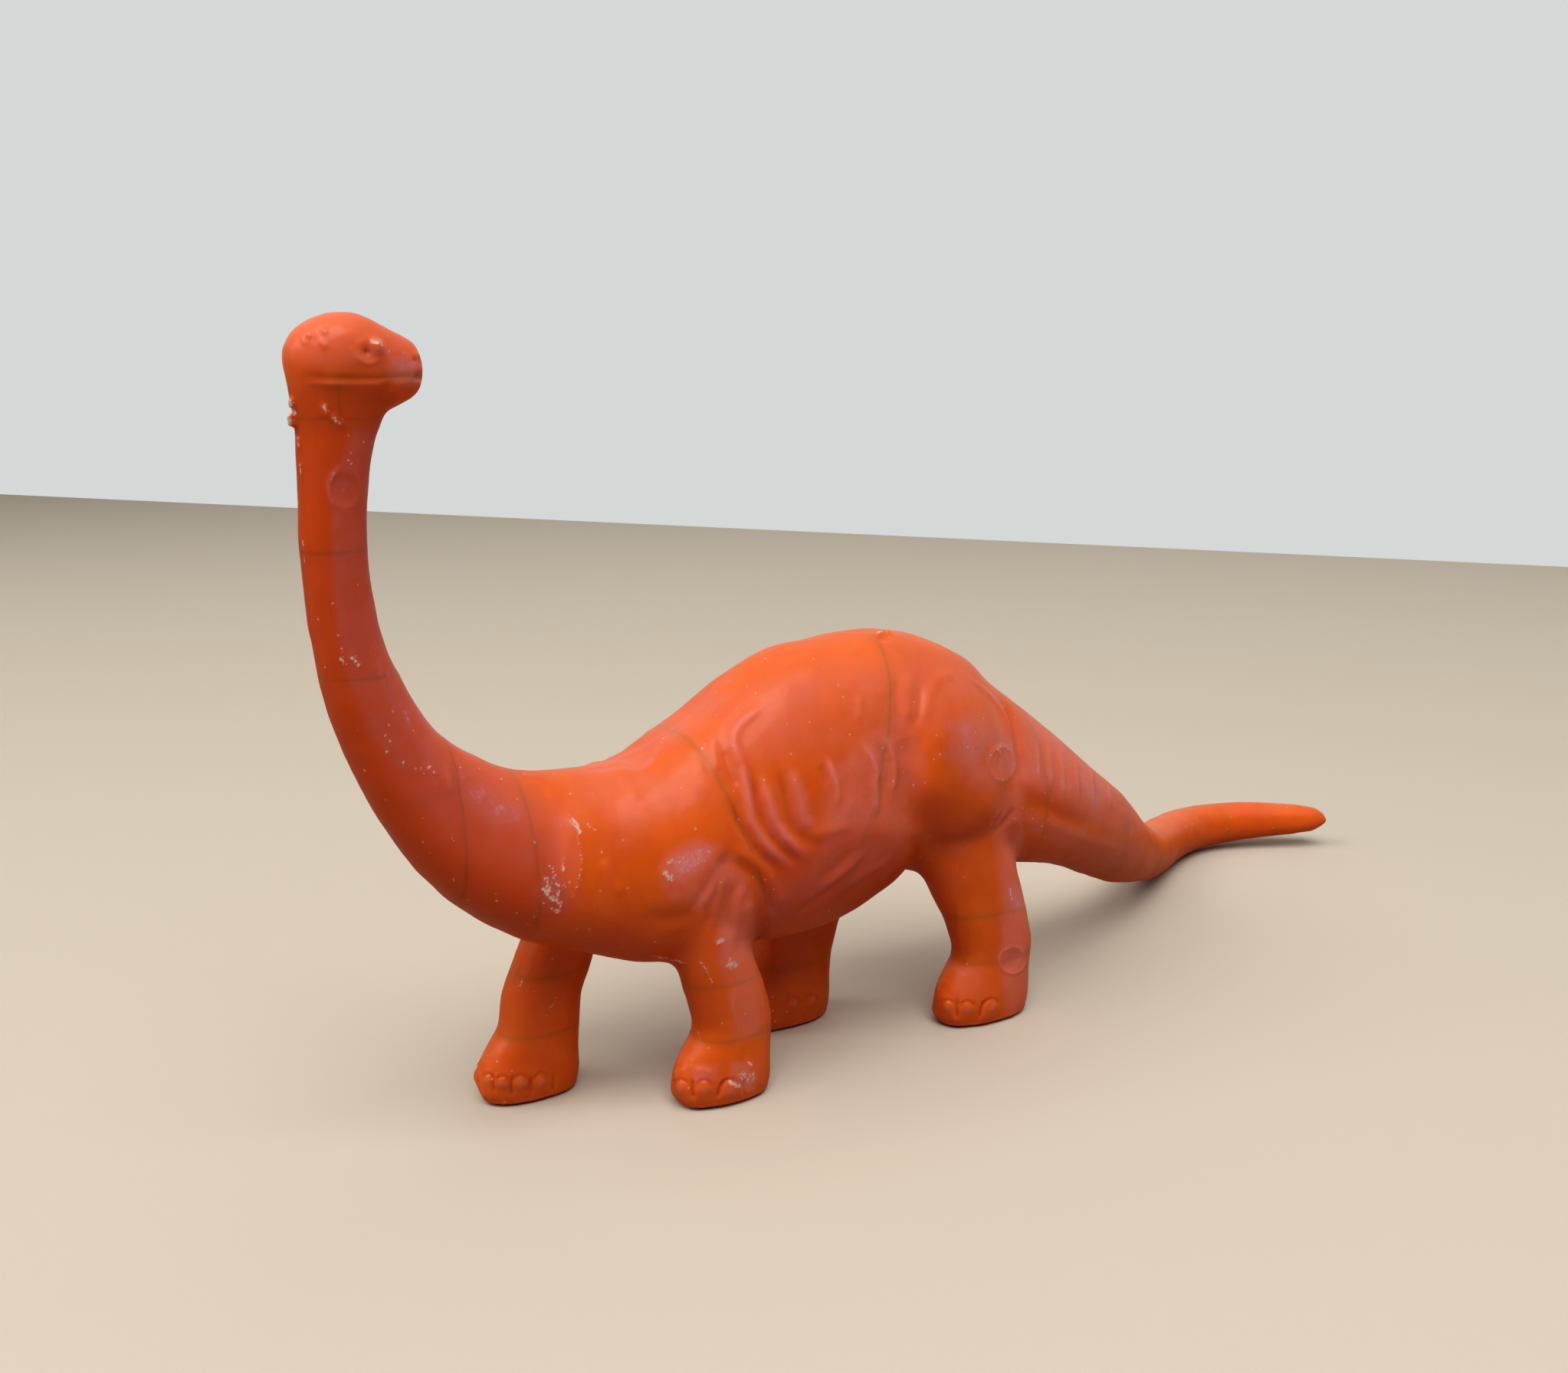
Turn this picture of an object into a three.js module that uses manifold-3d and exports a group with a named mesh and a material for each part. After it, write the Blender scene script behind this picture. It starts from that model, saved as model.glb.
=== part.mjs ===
// A small soft-plastic long-necked dinosaur, moulded in one shot, that stands on four feet,
// looks back over its own shoulder and sweeps its tail to one side.
// Millimetres, +Z up, soles on the ground plane. The chest faces -X, the tail trails towards +X,
// and the figure's left flank is the one on -Y.
// The moulding is built whole from lofts. It is then divided on flat planes where a sculptor
// would divide the animal, so that each region is a solid of its own in its own mesh.

import * as THREE from 'three';
import { mergeVertices } from 'three/addons/utils/BufferGeometryUtils.js';
import Module from 'manifold-3d';

const wasm = await Module();
wasm.setup();

// Trunk
const backHeight = 35.2; // sole to the top of the back
const bellyHeight = 10.8; // sole to the lowest point of the belly
const trunkLength = 48; // chest to tail root
const trunkWidth = 15.6;
const foldDepth = 0.3; // rib folds pressed into the flanks
const foldPitch = 2.9; // from one rib fold to the next
const foldSweep = 5.5; // how far the first fold sweeps towards the tail on its way down
const foldCount = 6;
const gateStubRadius = 0.6; // stub of the mould's gate, torn off on top of the back
const gateStubHeight = 0.3;

// Neck
const neckReach = 12.9; // how far the neck stands ahead of the chest
const throatHeight = 53.5; // sole to the underside of the jaw
const neckThickness = 4.2;
const neckWidth = 4.2;

// Head
const headHeight = 6.5; // throat to the top of the skull
const headLength = 8.8;
const headWidth = 5.6;
const headSetback = 3; // back of the skull ahead of the neck's axis
const mouthDepth = 0.35; // lip groove, measured into the head
const mouthWidth = 0.3; // lip groove, from lip to lip
const eyeRadius = 0.62;
const eyeHeight = 0.26; // how far an eye stands out of its cheek
const earRadius = 0.45;
const earHeight = 0.15;

// Tail
const tailReach = 58.5; // tail root to tip along X
const tailSway = 16.4; // how far the tail swings towards the right flank
const tailRootDepth = 13.4;
const tailRootWidth = 12.4;
const tailClearance = 0.3; // the low bend of the tail above the ground

// Stance
const foreFootSetback = 7.75; // middle of the fore pair behind the chest
const hindFootSetback = 14.65; // middle of the hind pair ahead of the tail root
const foreStride = 12.5; // left fore foot behind the right one
const hindStride = 15.6;
const footTrack = 9; // between the middles of a left and a right foot

// Fore legs
const foreAnkleHeight = 5.9;
const foreShoulderHeight = 20.5;
const foreShankDepth = 6.5;
const foreShankWidth = 5;
const foreToeReach = 1.9; // toes ahead of the shank
const foreShoulderSetback = 0.9; // shoulder joint behind the middle of the fore pair
const foreShoulderDepth = 6.2;
const foreShoulderWidth = 5.2;
const foreShoulderTrack = 8.4; // between the middles of the shoulder joints
const shoulderMuscleHeight = 22.5; // sole to the middle of the muscle over each shoulder
const shoulderMuscleLength = 10.4;
const shoulderMuscleDepth = 12;
const shoulderMuscleRise = 0.45; // how far it swells out of the flank

// Hind legs
const hindAnkleHeight = 6.2;
const hindHipHeight = 24.5; // sole to the middle of the haunch
const hindShankDepth = 7.8;
const hindShankWidth = 5.2;
const hindToeReach = 2;
const hindHipSetback = 1.65; // hip joint behind the middle of the hind pair
const hindHipDepth = 11;
const hindHipWidth = 7.4;
const hindHipTrack = 6.4;
const haunchLength = 11.8;
const haunchDepth = 15.6;
const haunchRise = 0.75; // how far the thigh muscle swells out of the flank

// Nails of every foot
const toeNailRadius = 0.85;
const toeNailHeight = 2.1;
const toeNailLift = 0.25; // lowest point of a nail above the ground

// Facets
const bodySides = 30;
const slimRings = 2; // rings from one row of the neck or tail to the next
const legSides = 18;
const headSides = 24;
const ballSides = 10;
const ballBands = 6;

const overrun = 4; // how far a cutting block runs past what it cuts
const plastic = { color: 0xe2521c, roughness: 0.42, metalness: 0 };

// Places that follow from the driving dimensions
const trunkDepth = backHeight - bellyHeight;
const crownHeight = throatHeight + headHeight;
const hindPairX = trunkLength - hindFootSetback;
const forePairX = foreFootSetback;
const neckAxisX = -neckReach;
const napeX = neckAxisX - headSetback;

// Neck, from the skull down to the chest. Shares: reach ahead of the chest, rise above the chest,
// flare from the slim neck to the chest in depth, and in width.
const neckShares = [
  [0.97, 1.05, 0.3, 0.08],
  [1.015, 0.93, 0.06, 0.01],
  [1.05, 0.765, 0.0, 0.0],
  [1.042, 0.64, 0.005, 0.0],
  [1.005, 0.522, 0.04, 0.02],
  [0.935, 0.413, 0.13, 0.08],
  [0.785, 0.275, 0.24, 0.17],
  [0.575, 0.162, 0.47, 0.34],
  [0.318, 0.067, 0.74, 0.63],
];

// Trunk, from the chest to the tail root. Shares: along the trunk, middle of the section above
// the belly, half of its depth, half of its width. Last, the rings laid before the next row.
const trunkShares = [
  [0.0, 0.43, 0.26, 0.37, 3],
  [0.095, 0.382, 0.294, 0.41, 4],
  [0.2, 0.36, 0.356, 0.45, 5],
  [0.315, 0.402, 0.413, 0.48, 8],
  [0.43, 0.462, 0.474, 0.5, 8],
  [0.545, 0.533, 0.474, 0.5, 7],
  [0.655, 0.59, 0.406, 0.49, 6],
  [0.77, 0.488, 0.395, 0.46, 5],
  [0.87, 0.42, 0.322, 0.43, 4],
];
const backNarrowingShare = 0.28;

// How square the sections are, as powers: an ellipse has squareness 2
const squarenessShares = { body: 2.2, head: 2.3, leg: 2.25 };

// Tail, from its root to the tip. Shares: along the reach, sideways sway, underside above or
// below the belly, half depth, half width.
const tailShares = [
  [0.0, 0.0, 0.1, 0.475, 0.5],
  [0.1, 0.035, -0.047, 0.38, 0.4],
  [0.2, 0.12, -0.29, 0.34, 0.32],
  [0.3, 0.26, -0.552, 0.286, 0.275],
  [0.4, 0.44, -0.729, 0.233, 0.24],
  [0.49, 0.63, -0.893, 0.21, 0.22],
  [0.585, 0.82, -0.98, 0.208, 0.21],
  [0.68, 0.96, -0.995, 0.196, 0.2],
  [0.775, 1.0, -0.99, 0.184, 0.19],
  [0.865, 0.87, -0.93, 0.162, 0.17],
  [0.935, 0.7, -0.88, 0.134, 0.14],
  [0.98, 0.58, -0.82, 0.095, 0.1],
  [1.0, 0.53, -0.76, 0.035, 0.04],
];

// Head, from the back of the skull to the snout. Shares: along the head, top and bottom of the
// section above the throat, half of its width.
const headShares = [
  [0.0, 0.6, 0.42, 0.1],
  [0.03, 0.72, 0.3, 0.24],
  [0.1, 0.84, 0.16, 0.37],
  [0.2, 0.925, 0.06, 0.46],
  [0.32, 0.98, 0.02, 0.5],
  [0.46, 1.0, 0.0, 0.5],
  [0.58, 0.965, 0.0, 0.46],
  [0.7, 0.88, 0.02, 0.415],
  [0.8, 0.815, 0.07, 0.385],
  [0.88, 0.765, 0.12, 0.36],
  [0.94, 0.71, 0.18, 0.32],
  [0.975, 0.6, 0.25, 0.25],
  [1.0, 0.48, 0.34, 0.1],
];
const faceShares = {
  mouthLevel: 0.36,
  jawHinge: 0.3,
  eyePlace: 0.57,
  eyeLevel: 0.63,
  eyeTrack: 0.86,
  earPlace: 0.2,
  earLevel: 0.76,
  earTrack: 0.76,
};

// Foot, from the sole to the ankle. Shares: height, toe reach, heel, half width.
const footShares = [
  [0.0, 0.5, 0.84, 0.86],
  [0.05, 0.78, 0.92, 0.94],
  [0.14, 0.96, 0.97, 0.99],
  [0.3, 1.04, 1.0, 1.02],
  [0.46, 1.0, 1.0, 1.02],
  [0.62, 0.78, 1.0, 1.0],
  [0.78, 0.42, 1.03, 0.98],
  [0.9, 0.1, 1.06, 0.97],
  [1.0, -0.1, 1.08, 0.97],
];

// Leg, from the ankle to the top of the shoulder or hip. Shares: height, half depth between the
// shank's and the joint's, half width in the same way, and lean from the foot to the joint.
const foreLegShares = [
  [0.14, 0.0, 0.02, 0.05],
  [0.32, 0.0, 0.15, 0.2],
  [0.5, 0.2, 0.5, 0.36],
  [0.68, 0.6, 0.9, 0.56],
  [0.86, 1.0, 1.0, 0.8],
  [1.0, 1.4, 1.0, 1.0],
];
const hindLegShares = [
  [0.16, 0.1, 0.04, 0.09],
  [0.32, 0.37, 0.13, 0.27],
  [0.46, 0.66, 0.32, 0.44],
  [0.66, 1.02, 0.66, 0.75],
  [0.84, 1.0, 0.9, 0.96],
  [1.0, 0.7, 0.7, 1.0],
];

// Nails sit round the outer front of a foot, at these shares of a quarter turn from straight ahead.
// They reach past the foot's own outline by these shares of it.
const nailTurnShares = [-0.16, 0.3, 0.72];
const nailReachShares = { ahead: 1.05, aside: 1.1 };

// Rib folds lie on this part of the flank: shares of the trunk's depth and of its length. Their
// bend says how much faster they sweep on their way down, where 1 is a straight sweep.
const foldBandShares = { top: 0.78, foot: 0.26, front: 0.26, bend: 1.6 };

// Gate stub, as a share of the way along the trunk's rows
const gatePlaceShare = 0.69;

// Where the moulding is divided. Neck: shares of the rise from back to throat, and of the reach
// ahead of the chest. Trunk: where its slanting cuts reach the back, as shares of its length. Tail:
// shares of its reach. Legs: shares of the ankle height and of the belly height, and how far from
// the middle of a shank the cuts of the trunk keep, as a share of its depth.
const chinCutShare = -0.04; // of the head height, from the throat
const neckCutShares = { upper: 0.52, middle: 0.06, lower: 0.53 };
const trunkCutShares = { shoulders: 0.2, ribs: 0.62 };
const tailCutShares = { middle: 0.22, sweep: 0.5, tip: 0.8 };
const legCutShares = { ankle: 0.93, groin: 0.95, face: 0.56 };

// A closed loft through rings of equal point count, with a flat fan on each end.
function loft(rings) {
  const sides = rings[0].length;
  const positions = rings.flat().flatMap((point) => point.toArray());
  const index = [];
  for (let ring = 0; ring + 1 < rings.length; ring += 1) {
    for (let side = 0; side < sides; side += 1) {
      const next = (side + 1) % sides;
      const near = ring * sides + side;
      const nearNext = ring * sides + next;
      index.push(near, nearNext, nearNext + sides, near, nearNext + sides, near + sides);
    }
  }
  const first = positions.length / 3;
  const last = (rings.length - 1) * sides;
  for (const ring of [rings[0], rings.at(-1)]) {
    const centre = new THREE.Vector3();
    ring.forEach((point) => centre.addScaledVector(point, 1 / sides));
    positions.push(...centre.toArray());
  }
  for (let side = 0; side < sides; side += 1) {
    const next = (side + 1) % sides;
    index.push(first, next, side, first + 1, last + side, last + next);
  }
  const geometry = new THREE.BufferGeometry();
  geometry.setAttribute('position', new THREE.Float32BufferAttribute(positions, 3));
  geometry.setIndex(index);
  return geometry;
}

// A geometry as a solid that can be joined and cut.
function solidOf(geometry) {
  const bare = geometry.clone();
  bare.deleteAttribute('normal');
  bare.deleteAttribute('uv');
  const welded = mergeVertices(bare);
  const vertProperties = new Float32Array(welded.attributes.position.array);
  const triVerts = new Uint32Array(welded.index.array);
  return new wasm.Manifold(new wasm.Mesh({ numProp: 3, vertProperties, triVerts }));
}

// A solid as the geometry of a mesh.
function geometryOf(solid) {
  const { vertProperties, triVerts } = solid.getMesh();
  const geometry = new THREE.BufferGeometry();
  geometry.setAttribute('position', new THREE.BufferAttribute(vertProperties, 3));
  geometry.setIndex(new THREE.BufferAttribute(triVerts, 1));
  return geometry;
}

// A solid block between two corners.
function block(low, high) {
  const size = high.clone().sub(low);
  const centre = low.clone().add(high).multiplyScalar(1 / 2);
  const geometry = new THREE.BoxGeometry(size.x, size.y, size.z);
  geometry.translate(centre.x, centre.y, centre.z);
  return solidOf(geometry);
}

// A ball stretched to three radii, at its place.
function ball(centre, radii) {
  const geometry = new THREE.SphereGeometry(1, ballSides, ballBands);
  geometry.scale(radii.x, radii.y, radii.z);
  geometry.translate(centre.x, centre.y, centre.z);
  return solidOf(geometry);
}

// The corners of a rounded section: a superellipse of unit radii, an ellipse at squareness 2.
function sectionCorners(sides, squareness) {
  const round = (value) => Math.sign(value) * Math.abs(value) ** (2 / squareness);
  return Array.from({ length: sides }, (_, corner) => {
    const angle = (2 * Math.PI * corner) / sides;
    return new THREE.Vector2(round(Math.cos(angle)), round(Math.sin(angle)));
  });
}

// A smooth curve through each column of a table, read at a place counted in rows.
function rowReader(rows) {
  const curves = rows[0].map(
    (_, column) => new THREE.SplineCurve(rows.map((row, at) => new THREE.Vector2(at, row[column]))),
  );
  return (place) => curves.map((curve) => curve.getPoint(place / (rows.length - 1)).y);
}

// Rows of the whole spine: place X, Y, Z, half depth, half width, rings laid before the next row.
function spineRows() {
  const [, chestMiddle, chestDepth, chestWidth] = trunkShares[0];
  const chestHeight = bellyHeight + trunkDepth * chestMiddle;
  const neckRise = throatHeight - chestHeight;
  const mix = THREE.MathUtils.lerp;
  const neck = neckShares.map(([reach, rise, depthFlare, widthFlare]) => [
    -neckReach * reach,
    0,
    chestHeight + neckRise * rise,
    mix(neckThickness / 2, trunkDepth * chestDepth, depthFlare),
    mix(neckWidth / 2, trunkWidth * chestWidth, widthFlare),
    slimRings,
  ]);
  const trunk = trunkShares.map(([along, middle, halfDepth, halfWidth, rings]) => [
    trunkLength * along,
    0,
    bellyHeight + trunkDepth * middle,
    trunkDepth * halfDepth,
    trunkWidth * halfWidth,
    rings,
  ]);
  const tail = tailShares.map(([reach, sway, underside, halfDepth, halfWidth]) => [
    trunkLength + tailReach * reach,
    tailSway * sway,
    bellyHeight + (bellyHeight - tailClearance) * underside + tailRootDepth * halfDepth,
    tailRootDepth * halfDepth,
    tailRootWidth * halfWidth,
    slimRings,
  ]);
  return [...neck, ...trunk, ...tail];
}

// How far the flank is pressed in by the rib folds at a point. The folds start upright under the
// back and sweep towards the tail on their way down, the front ones furthest.
function ribFold(point) {
  const top = bellyHeight + trunkDepth * foldBandShares.top;
  const foot = bellyHeight + trunkDepth * foldBandShares.foot;
  const fall = (top - point.z) / (top - foot);
  if (fall <= 0 || fall >= 1) return 0;
  const sweep = foldSweep * fall ** foldBandShares.bend;
  const start = trunkLength * foldBandShares.front;
  const order = (point.x - start - sweep) / (foldPitch - sweep / foldCount);
  if (order <= 0 || order >= foldCount) return 0;
  const fade = Math.sin(Math.PI * fall) * Math.sqrt(Math.sin((Math.PI * order) / foldCount));
  return (foldDepth * fade * (1 - Math.cos(2 * Math.PI * order))) / 2;
}

// How far a muscle swells the flank at a point: a shallow oval dome with a crease round its edge.
function muscleSwell(point, { x, z, length, depth, rise }) {
  const away = ((2 * (point.x - x)) / length) ** 2 + ((2 * (point.z - z)) / depth) ** 2;
  return away < 1 ? rise * (1 - away ** 2) : 0;
}

// Height of the flank's surface over a plain section at a point.
function flankRelief(point) {
  return muscles.reduce((relief, muscle) => relief + muscleSwell(point, muscle), -ribFold(point));
}

// The spine's body in one sweep, from inside the skull to the tip of the tail.
function bodySolid() {
  const rows = spineRows();
  const read = rowReader(rows);
  const lastPlace = rows.length - 1;
  const places = rows.slice(0, -1).flatMap((row, at) =>
    Array.from({ length: row[5] }, (_, ring) => at + ring / row[5]));
  const corners = sectionCorners(bodySides, squarenessShares.body);
  const centreAt = (place) => new THREE.Vector3(...read(place));
  const step = 1 / 4;
  const rings = [...places, lastPlace].map((place) => {
    const [, , , halfDepth, halfWidth] = read(place);
    const ahead = centreAt(Math.min(place + step, lastPlace));
    const tangent = ahead.sub(centreAt(Math.max(place - step, 0))).normalize();
    const side = new THREE.Vector3(0, 1, 0);
    side.addScaledVector(tangent, -side.dot(tangent)).normalize();
    const up = tangent.clone().cross(side);
    return corners.map((corner) => {
      const narrowing = 1 - (backNarrowingShare * corner.y * halfWidth) / trunkWidth;
      const point = centreAt(place);
      point.addScaledVector(side, corner.x * halfWidth * narrowing);
      point.addScaledVector(up, corner.y * halfDepth);
      return point.addScaledVector(side, Math.sign(corner.x) * flankRelief(point));
    });
  });
  const [gateX, , gateZ, gateHalfDepth] = read(
    neckShares.length + trunkShares.length * gatePlaceShare,
  );
  const gateCentre = new THREE.Vector3(gateX, 0, gateZ + gateHalfDepth);
  const gateRadii = new THREE.Vector3(gateStubRadius, gateStubRadius, gateStubHeight);
  return solidOf(loft(rings)).add(ball(gateCentre, gateRadii));
}

// Loft of the head, drawn in all round by an inset.
function headLoft(inset) {
  const read = rowReader(headShares);
  const corners = sectionCorners(headSides, squarenessShares.head);
  const narrowing = 1 - (2 * inset) / headWidth;
  const rings = Array.from({ length: 2 * headShares.length - 1 }, (_, half) => {
    const [along, top, bottom, halfWidth] = read(half / 2);
    const middle = throatHeight + (headHeight * (top + bottom)) / 2;
    return corners.map((corner) => new THREE.Vector3(
      napeX + (headLength - inset) * along,
      corner.x * headWidth * halfWidth * narrowing,
      middle + (corner.y * headHeight * (top - bottom)) / 2,
    ));
  });
  return solidOf(loft(rings));
}

// Skull and jaw, with the groove between the lips, the eyes and the ears.
function headSolid() {
  const mouthZ = throatHeight + headHeight * faceShares.mouthLevel;
  const hingeX = napeX + headLength * faceShares.jawHinge;
  const lips = block(
    new THREE.Vector3(hingeX, -headWidth, mouthZ - mouthWidth / 2),
    new THREE.Vector3(napeX + headLength + overrun, headWidth, mouthZ + mouthWidth / 2),
  );
  const head = headLoft(0).subtract(lips.subtract(headLoft(mouthDepth)));
  const button = (place, level, track, radius, height, side) => ball(
    new THREE.Vector3(
      napeX + headLength * place,
      side * ((headWidth * track) / 2 - radius + height),
      throatHeight + headHeight * level,
    ),
    new THREE.Vector3(radius, radius, radius),
  );
  const { eyePlace, eyeLevel, eyeTrack, earPlace, earLevel, earTrack } = faceShares;
  return [-1, 1].reduce(
    (joined, side) => joined
      .add(button(eyePlace, eyeLevel, eyeTrack, eyeRadius, eyeHeight, side))
      .add(button(earPlace, earLevel, earTrack, earRadius, earHeight, side)),
    head,
  );
}

const foreLegs = {
  pairX: forePairX,
  stride: foreStride,
  ankleHeight: foreAnkleHeight,
  shankDepth: foreShankDepth,
  shankWidth: foreShankWidth,
  toeReach: foreToeReach,
  jointX: forePairX + foreShoulderSetback,
  jointHeight: foreShoulderHeight,
  jointDepth: foreShoulderDepth,
  jointWidth: foreShoulderWidth,
  jointTrack: foreShoulderTrack,
  shares: foreLegShares,
};
const hindLegs = {
  pairX: hindPairX,
  stride: hindStride,
  ankleHeight: hindAnkleHeight,
  shankDepth: hindShankDepth,
  shankWidth: hindShankWidth,
  toeReach: hindToeReach,
  jointX: hindPairX + hindHipSetback,
  jointHeight: hindHipHeight,
  jointDepth: hindHipDepth,
  jointWidth: hindHipWidth,
  jointTrack: hindHipTrack,
  shares: hindLegShares,
};
const left = -1;
const right = 1;

// The muscles that swell both flanks, over the shoulders and over the thighs
const muscles = [
  {
    x: foreLegs.jointX,
    z: shoulderMuscleHeight,
    length: shoulderMuscleLength,
    depth: shoulderMuscleDepth,
    rise: shoulderMuscleRise,
  },
  {
    x: hindLegs.jointX,
    z: hindHipHeight,
    length: haunchLength,
    depth: haunchDepth,
    rise: haunchRise,
  },
];

// Middle of a foot: the left foot of each pair steps back by half a stride, the right one forward.
function footPlace(legs, side) {
  return new THREE.Vector2(legs.pairX - side * (legs.stride / 2), side * (footTrack / 2));
}

// One leg with its foot and nails, from the flat sole up into the trunk.
function legSolid(legs, side) {
  const foot = footPlace(legs, side);
  const mix = THREE.MathUtils.lerp;
  const footRows = footShares.map(([height, toe, heel, width]) => ({
    centre: new THREE.Vector3(foot.x, foot.y, legs.ankleHeight * height),
    front: legs.shankDepth / 2 + legs.toeReach * toe,
    rear: (legs.shankDepth * heel) / 2,
    halfWidth: (legs.shankWidth * width) / 2,
  }));
  const legRows = legs.shares.map(([height, depth, width, lean]) => {
    const halfDepth = mix(legs.shankDepth, legs.jointDepth, depth) / 2;
    return {
      centre: new THREE.Vector3(
        mix(foot.x, legs.jointX, lean),
        mix(foot.y, (side * legs.jointTrack) / 2, lean),
        mix(legs.ankleHeight, legs.jointHeight, height),
      ),
      front: halfDepth,
      rear: halfDepth,
      halfWidth: mix(legs.shankWidth, legs.jointWidth, width) / 2,
    };
  });
  const corners = sectionCorners(legSides, squarenessShares.leg);
  const rings = [...footRows, ...legRows].map(({ centre, front, rear, halfWidth }) =>
    corners.map((corner) => new THREE.Vector3(
      centre.x + corner.x * (corner.x < 0 ? front : rear),
      centre.y + corner.y * halfWidth,
      centre.z,
    )));
  return solidOf(loft(rings)).add(nailsSolid(legs, side));
}

// Blunt nails round the outer front of a foot, just clear of the ground.
function nailsSolid(legs, side) {
  const foot = footPlace(legs, side);
  const ahead = (legs.shankDepth / 2 + legs.toeReach) * nailReachShares.ahead - toeNailRadius;
  const aside = (legs.shankWidth / 2) * nailReachShares.aside - toeNailRadius;
  const nails = nailTurnShares.map((share) => {
    const turn = (share * Math.PI) / 2;
    return ball(
      new THREE.Vector3(
        foot.x - Math.cos(turn) * ahead,
        foot.y + side * Math.sin(turn) * aside,
        toeNailLift + toeNailHeight / 2,
      ),
      new THREE.Vector3(toeNailRadius, toeNailRadius, toeNailHeight / 2),
    );
  });
  return nails.reduce((joined, nail) => joined.add(nail));
}

// The moulding in one piece.
const legPairs = [
  { name: 'fore', legs: foreLegs },
  { name: 'hind', legs: hindLegs },
];
const sides = [
  { name: 'left', side: left },
  { name: 'right', side: right },
];
let moulding = bodySolid().add(headSolid());
for (const { legs } of legPairs) {
  for (const { side } of sides) moulding = moulding.add(legSolid(legs, side));
}

const figure = new THREE.Group();

// Each region gets a mesh of its own, in the same waxy plastic.
function addMesh(name, solid) {
  const mesh = new THREE.Mesh(geometryOf(solid), new THREE.MeshStandardMaterial(plastic));
  mesh.name = name;
  figure.add(mesh);
}

// Blocks of all that lies below a height, above one, or ahead of a cut. The cut may slant: it
// passes one place at the groin and another at the top of the back.
const far = crownHeight + trunkLength + tailReach;
const groinZ = bellyHeight * legCutShares.groin;
const below = (z) => block(new THREE.Vector3(-far, -far, -far), new THREE.Vector3(far, far, z));
const above = (z) => block(new THREE.Vector3(-far, -far, z), new THREE.Vector3(far, far, far));
function aheadOf(groinX, backX) {
  const ring = (z) => {
    const cutX = THREE.MathUtils.mapLinear(z, groinZ, backHeight, groinX, backX);
    return [
      new THREE.Vector3(cutX, -far, z),
      new THREE.Vector3(cutX, far, z),
      new THREE.Vector3(Math.min(-far, cutX - far), far, z),
      new THREE.Vector3(Math.min(-far, cutX - far), -far, z),
    ];
  };
  return solidOf(loft([ring(-overrun), ring(crownHeight + overrun)]));
}

// Cuts the material inside a space off the moulding.
function cutOff(space) {
  const region = moulding.intersect(space);
  moulding = moulding.subtract(space);
  return region;
}

// Faces of the outermost shanks, which the cuts across the trunk keep clear of
const shankFace = (legs, side, towards) => {
  return footPlace(legs, side).x + towards * legs.shankDepth * legCutShares.face;
};
const chestX = shankFace(foreLegs, right, -1);
const tailRootX = shankFace(hindLegs, left, 1);

// Legs and feet
for (const { name: sideName, side } of sides) {
  const limbs = cutOff(block(
    new THREE.Vector3(-far, Math.min(0, side * far), -far),
    new THREE.Vector3(tailRootX, Math.max(0, side * far), groinZ),
  ));
  const middleX = (footPlace(foreLegs, side).x + footPlace(hindLegs, side).x) / 2;
  for (const { name, legs } of legPairs) {
    const front = limbs.intersect(aheadOf(middleX, middleX));
    const leg = legs === foreLegs ? front : limbs.subtract(front);
    const ankle = below(legs.ankleHeight * legCutShares.ankle);
    addMesh(`${sideName}_${name}_foot`, leg.intersect(ankle));
    addMesh(`${sideName}_${name}_leg`, leg.subtract(ankle));
  }
}

// Head and jaw
const skull = cutOff(above(throatHeight + headHeight * chinCutShare));
const jaw = block(
  new THREE.Vector3(napeX + headLength * faceShares.jawHinge, -headWidth, -far),
  new THREE.Vector3(far, headWidth, throatHeight + headHeight * faceShares.mouthLevel),
);
addMesh('lower_jaw', skull.intersect(jaw));
addMesh('head', skull.subtract(jaw));

// Neck from the throat down, then the trunk and the tail
const neckZ = (share) => THREE.MathUtils.lerp(backHeight, throatHeight, share);
const neckX = -neckReach * neckCutShares.lower;
const shoulderX = shankFace(foreLegs, left, 1);
const flankX = shankFace(hindLegs, right, -1);
const { shoulders, ribs } = trunkCutShares;
const tailX = (share) => trunkLength + tailReach * share;
const straightAhead = (x) => aheadOf(x, x);
const regions = [
  ['neck_upper', above(neckZ(neckCutShares.upper))],
  ['neck_middle', above(neckZ(neckCutShares.middle))],
  ['neck_base', straightAhead(neckX)],
  ['chest', straightAhead(chestX)],
  ['shoulders', aheadOf(shoulderX, trunkLength * shoulders)],
  ['rib_cage', aheadOf(flankX, trunkLength * ribs)],
  ['hips', straightAhead(tailRootX)],
  ['tail_root', straightAhead(tailX(tailCutShares.middle))],
  ['tail_middle', straightAhead(tailX(tailCutShares.sweep))],
  ['tail_sweep', straightAhead(tailX(tailCutShares.tip))],
];
for (const [name, space] of regions) addMesh(name, cutOff(space));
addMesh('tail_tip', moulding);

// The origin is on the ground, under the middle of the figure.
const bounds = new THREE.Box3().setFromObject(figure);
figure.position.set(-(bounds.min.x + bounds.max.x) / 2, -(bounds.min.y + bounds.max.y) / 2, 0);

export default figure;
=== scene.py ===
"""Looks of a small soft-plastic toy dinosaur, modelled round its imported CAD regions.

The real figure is one moulding in one waxy orange plastic. So its skin is worked here as one sheet
of wax: a blank is drawn over the CAD regions, relaxed, and marked with the folds, creases, nails and
mould marks of the real one. Then it is cut on the CAD's own planes into one closed piece per region.
Metres, in the CAD's frame: the chest faces -X, the left flank -Y, and +Z is up. Widths and heights
of marks are in millimetres, and their places are pixels of the photograph.
"""

from __future__ import annotations

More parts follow.
